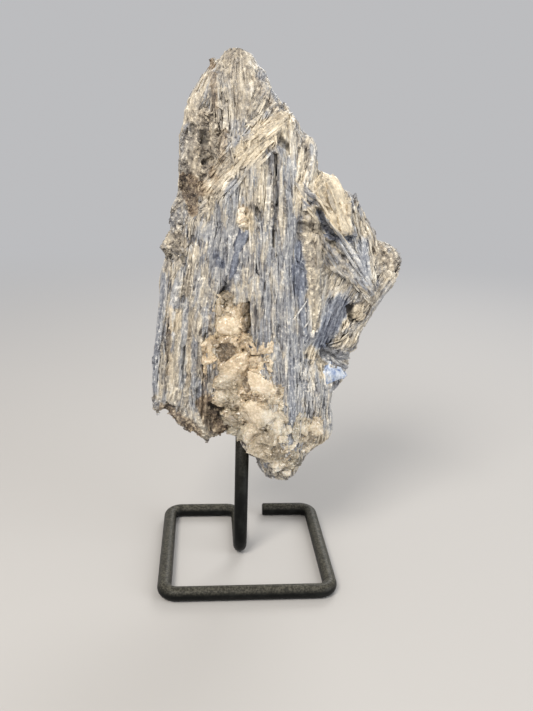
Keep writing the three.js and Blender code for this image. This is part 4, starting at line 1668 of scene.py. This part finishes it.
def add_light(name, place, size, energy, colour):
    """A square soft light that faces the middle of the specimen."""
    data = bpy.data.lights.new(name, "AREA")
    data.shape = "RECTANGLE"
    data.size = data.size_y = size
    data.energy = energy
    data.color = colour
    light = bpy.data.objects.new(name, data)
    light.location = place
    target = Vector((0, 0, 0.12))
    light.rotation_euler = (target - Vector(place)).to_track_quat("-Z", "Y").to_euler()
    bpy.context.scene.collection.objects.link(light)


def add_camera(props):
    """The camera, turned by its yaw, its tilt down and its lean."""
    data = bpy.data.cameras.new("camera")
    data.sensor_width = 36
    data.lens = props.lens
    camera = bpy.data.objects.new("camera", data)
    yaw, pitch, roll = props.yaw, props.pitch, props.roll
    forward = Vector((math.sin(yaw) * math.cos(pitch), math.cos(yaw) * math.cos(pitch), -math.sin(pitch)))
    right = forward.cross(Vector((0, 0, 1))).normalized()
    up = right.cross(forward)
    turned_right = right * math.cos(roll) + up * math.sin(roll)
    turned_up = up * math.cos(roll) - right * math.sin(roll)
    turn = Matrix((turned_right, turned_up, -forward)).transposed()
    camera.matrix_world = Matrix.Translation(props.camera_place) @ turn.to_4x4()
    bpy.context.scene.collection.objects.link(camera)
    bpy.context.scene.camera = camera


def floor_material(props):
    """A matt floor that turns into the room's colour far from the specimen, so that no horizon shows."""
    material, shader, n = new_material("pale_floor")
    set_constants(shader, {"Base Color": (*props.floor_colour, 1), "Roughness": 0.85})
    reach = n.add("ShaderNodeVectorMath", operation="LENGTH")
    n.link(n.place(), reach.inputs[0])
    far = n.add("ShaderNodeEmission")
    set_constants(far, {"Color": (*props.room_colour, 1), "Strength": props.room_light})
    blend = n.add("ShaderNodeMixShader")
    n.link(n.spread(reach.outputs["Value"], FLOOR_NEAR, FLOOR_FAR), blend.inputs[0])
    n.link(shader.outputs[0], blend.inputs[1])
    n.link(far.outputs[0], blend.inputs[2])
    n.link(blend.outputs[0], material.node_tree.nodes["Material Output"].inputs[0])
    return material


def make_stage(context):
    """The camera, the floor, three lights and the room's soft light."""
    props = context.scene.kyanite_stage
    add_camera(props)
    bpy.ops.mesh.primitive_plane_add(size=FLOOR_SIZE, location=(0, 0, 0))
    floor = bpy.context.object
    floor.name = "floor"
    floor.data.materials.append(floor_material(props))
    add_light("key_light", (-0.35, -0.55, 0.75), 0.35, props.key_power, (1, 0.96, 0.90))
    add_light("fill_light", (0.75, -0.45, 0.35), 0.6, props.fill_power, (0.92, 0.96, 1))
    add_light("rim_light", (0.35, 0.75, 0.65), 0.5, props.rim_power, (1, 1, 1))
    world = bpy.data.worlds.new("soft_room")
    world.use_nodes = True
    background = world.node_tree.nodes["Background"]
    set_constants(background, {"Color": (*props.room_colour, 1), "Strength": props.room_light})
    context.scene.world = world
    context.scene.view_settings.view_transform = "Standard"


# ------------------------------------------------------------------ the add-on

class KyaniteStandProperties(bpy.types.PropertyGroup):
    """Sizes and colours of the stand"""

    rod_radius: FloatProperty(
        name="Rod radius", description="Radius of the steel rod", default=0.003, unit="LENGTH"
    )
    bend_radius: FloatProperty(
        name="Bend radius",
        description="Radius of each bend, to the rod's centre line",
        default=0.0055,
        unit="LENGTH",
    )
    free_end: FloatProperty(
        name="Free end",
        description="Where along X the rod starts on the foot's back bar",
        default=0.0,
        unit="LENGTH",
    )
    coat_colour: FloatVectorProperty(
        name="Coat",
        description="Colour of the powder coat",
        default=(0.0026, 0.0028, 0.0026),
        subtype="COLOR",
    )
    worn_colour: FloatVectorProperty(
        name="Worn coat",
        description="Colour where the coat is rubbed",
        default=(0.012, 0.0128, 0.0115),
        subtype="COLOR",
    )
    # Painted light on the upper sides, as if lit from above, with the look of dust.
    top_light_and_dust_colour: FloatVectorProperty(
        name="Dust",
        description="Colour of the dust on the upper sides",
        default=(0.112, 0.104, 0.080),
        subtype="COLOR",
    )


class KyaniteCrystalProperties(bpy.types.PropertyGroup):
    """Sizes of the crystal's detail"""

    body_grain: FloatProperty(
        name="Body grain",
        description="Size of the body mesh's cells",
        default=0.0005,
        unit="LENGTH",
        precision=5,
    )
    blade_count: IntProperty(
        name="Blades", description="Blades tried on the whole surface", default=9000, min=100
    )
    grain_count: IntProperty(
        name="Grains", description="Grains tried on the whole surface", default=20000, min=100
    )


class KyaniteStageProperties(bpy.types.PropertyGroup):
    """Camera, lights and floor"""

    camera_place: FloatVectorProperty(
        name="Camera",
        description="Where the camera stands",
        default=(-0.0301, -0.2968, 0.1858),
        subtype="TRANSLATION",
    )
    yaw: FloatProperty(
        name="Yaw", description="Camera's turn", default=math.radians(5.15), subtype="ANGLE"
    )
    pitch: FloatProperty(
        name="Pitch", description="Camera's tilt down", default=math.radians(16.88), subtype="ANGLE"
    )
    roll: FloatProperty(
        name="Roll", description="Camera's lean", default=math.radians(1.75), subtype="ANGLE"
    )
    lens: FloatProperty(name="Lens", description="Focal length in millimetres", default=37.01, min=1)
    floor_colour: FloatVectorProperty(
        name="Floor", description="Colour of the floor", default=(0.50, 0.48, 0.455), subtype="COLOR"
    )
    room_colour: FloatVectorProperty(
        name="Room colour",
        description="Colour of the room's soft light",
        default=(0.97, 0.975, 1.0),
        subtype="COLOR",
    )
    key_power: FloatProperty(
        name="Key", description="Power of the key light", default=7.0, unit="POWER"
    )
    fill_power: FloatProperty(
        name="Fill", description="Power of the fill light", default=4.0, unit="POWER"
    )
    rim_power: FloatProperty(
        name="Rim", description="Power of the rim light", default=4.0, unit="POWER"
    )
    room_light: FloatProperty(
        name="Room", description="Strength of the room's soft light", default=0.52, min=0
    )


class KYANITE_OT_body(bpy.types.Operator):
    """Build the crystal's body, with its steps, cracks and hollows"""

    bl_idname = "kyanite.body"
    bl_label = "Crystal body"

    def execute(self, context):
        make_body(context)
        return {"FINISHED"}


class KYANITE_OT_blades(bpy.types.Operator):
    """Grow the blades that lie over the body"""

    bl_idname = "kyanite.blades"
    bl_label = "Blades"

    def execute(self, context):
        make_blades(context)
        return {"FINISHED"}


class KYANITE_OT_quartz(bpy.types.Operator):
    """Set the blocks of cloudy quartz in the crystal"""

    bl_idname = "kyanite.quartz"
    bl_label = "Quartz"

    def execute(self, context):
        material = quartz_material()
        for name, blocks, small_count, side, seed in QUARTZ_SIDES:
            add_quartz_bed("quartz_bed_" + name, blocks, side, seed, material)
            add_blocks("quartz_" + name, blocks, small_count, side, seed, material)
        add_blocks("quartz_knob", FRONT_KNOB, 8, -1, 4, material, KNOB_ROUNDNESS)
        add_blocks("quartz_nodule", FRONT_NODULES, 8, -1, 8, material)
        return {"FINISHED"}


class KYANITE_OT_blue_crystal(bpy.types.Operator):
    """Set the small clear blue crystal at the wing's foot"""

    bl_idname = "kyanite.blue_crystal"
    bl_label = "Blue crystal"

    def execute(self, context):
        add_blocks("blue_crystal", BLUE_BLOCKS, 0, -1, 4, clear_blue_material())
        return {"FINISHED"}


class KYANITE_OT_grains(bpy.types.Operator):
    """Scatter the weathered grains of the rough places"""

    bl_idname = "kyanite.grains"
    bl_label = "Grains"

    def execute(self, context):
        count = context.scene.kyanite_crystal.grain_count // draft_divisor()
        add_grains("weathered_grains", count, 7, kyanite_material())
        return {"FINISHED"}


class KYANITE_OT_stand(bpy.types.Operator):
    """Bend the rod stand"""

    bl_idname = "kyanite.stand"
    bl_label = "Rod stand"

    def execute(self, context):
        make_stand(context)
        return {"FINISHED"}


class KYANITE_OT_stage(bpy.types.Operator):
    """Set up the floor, the lights and the camera"""

    bl_idname = "kyanite.stage"
    bl_label = "Stage"

    def execute(self, context):
        make_stage(context)
        return {"FINISHED"}


OPERATORS = (
    KYANITE_OT_body,
    KYANITE_OT_blades,
    KYANITE_OT_quartz,
    KYANITE_OT_blue_crystal,
    KYANITE_OT_grains,
    KYANITE_OT_stand,
    KYANITE_OT_stage,
)


class KYANITE_PT_panel(bpy.types.Panel):
    """Lists the pieces of the specimen"""

    bl_idname = "KYANITE_PT_panel"
    bl_label = "Kyanite on a rod stand"
    bl_space_type = "VIEW_3D"
    bl_region_type = "UI"
    bl_category = "Kyanite"

    def draw(self, context):
        for operator in OPERATORS:
            self.layout.operator(operator.bl_idname)


PROPERTIES = {
    "kyanite_stand": KyaniteStandProperties,
    "kyanite_crystal": KyaniteCrystalProperties,
    "kyanite_stage": KyaniteStageProperties,
}


def register():
    for cls in (*PROPERTIES.values(), *OPERATORS, KYANITE_PT_panel):
        bpy.utils.register_class(cls)
    for name, cls in PROPERTIES.items():
        setattr(bpy.types.Scene, name, PointerProperty(type=cls))


def unregister():
    for name in PROPERTIES:
        delattr(bpy.types.Scene, name)
    for cls in reversed((*PROPERTIES.values(), *OPERATORS, KYANITE_PT_panel)):
        bpy.utils.unregister_class(cls)


def main():
    """Builds every piece and the stage."""
    register()
    bpy.ops.kyanite.body()
    bpy.ops.kyanite.blades()
    bpy.ops.kyanite.quartz()
    bpy.ops.kyanite.blue_crystal()
    bpy.ops.kyanite.grains()
    bpy.ops.kyanite.stand()
    bpy.ops.kyanite.stage()


if __name__ == "__main__":
    main()
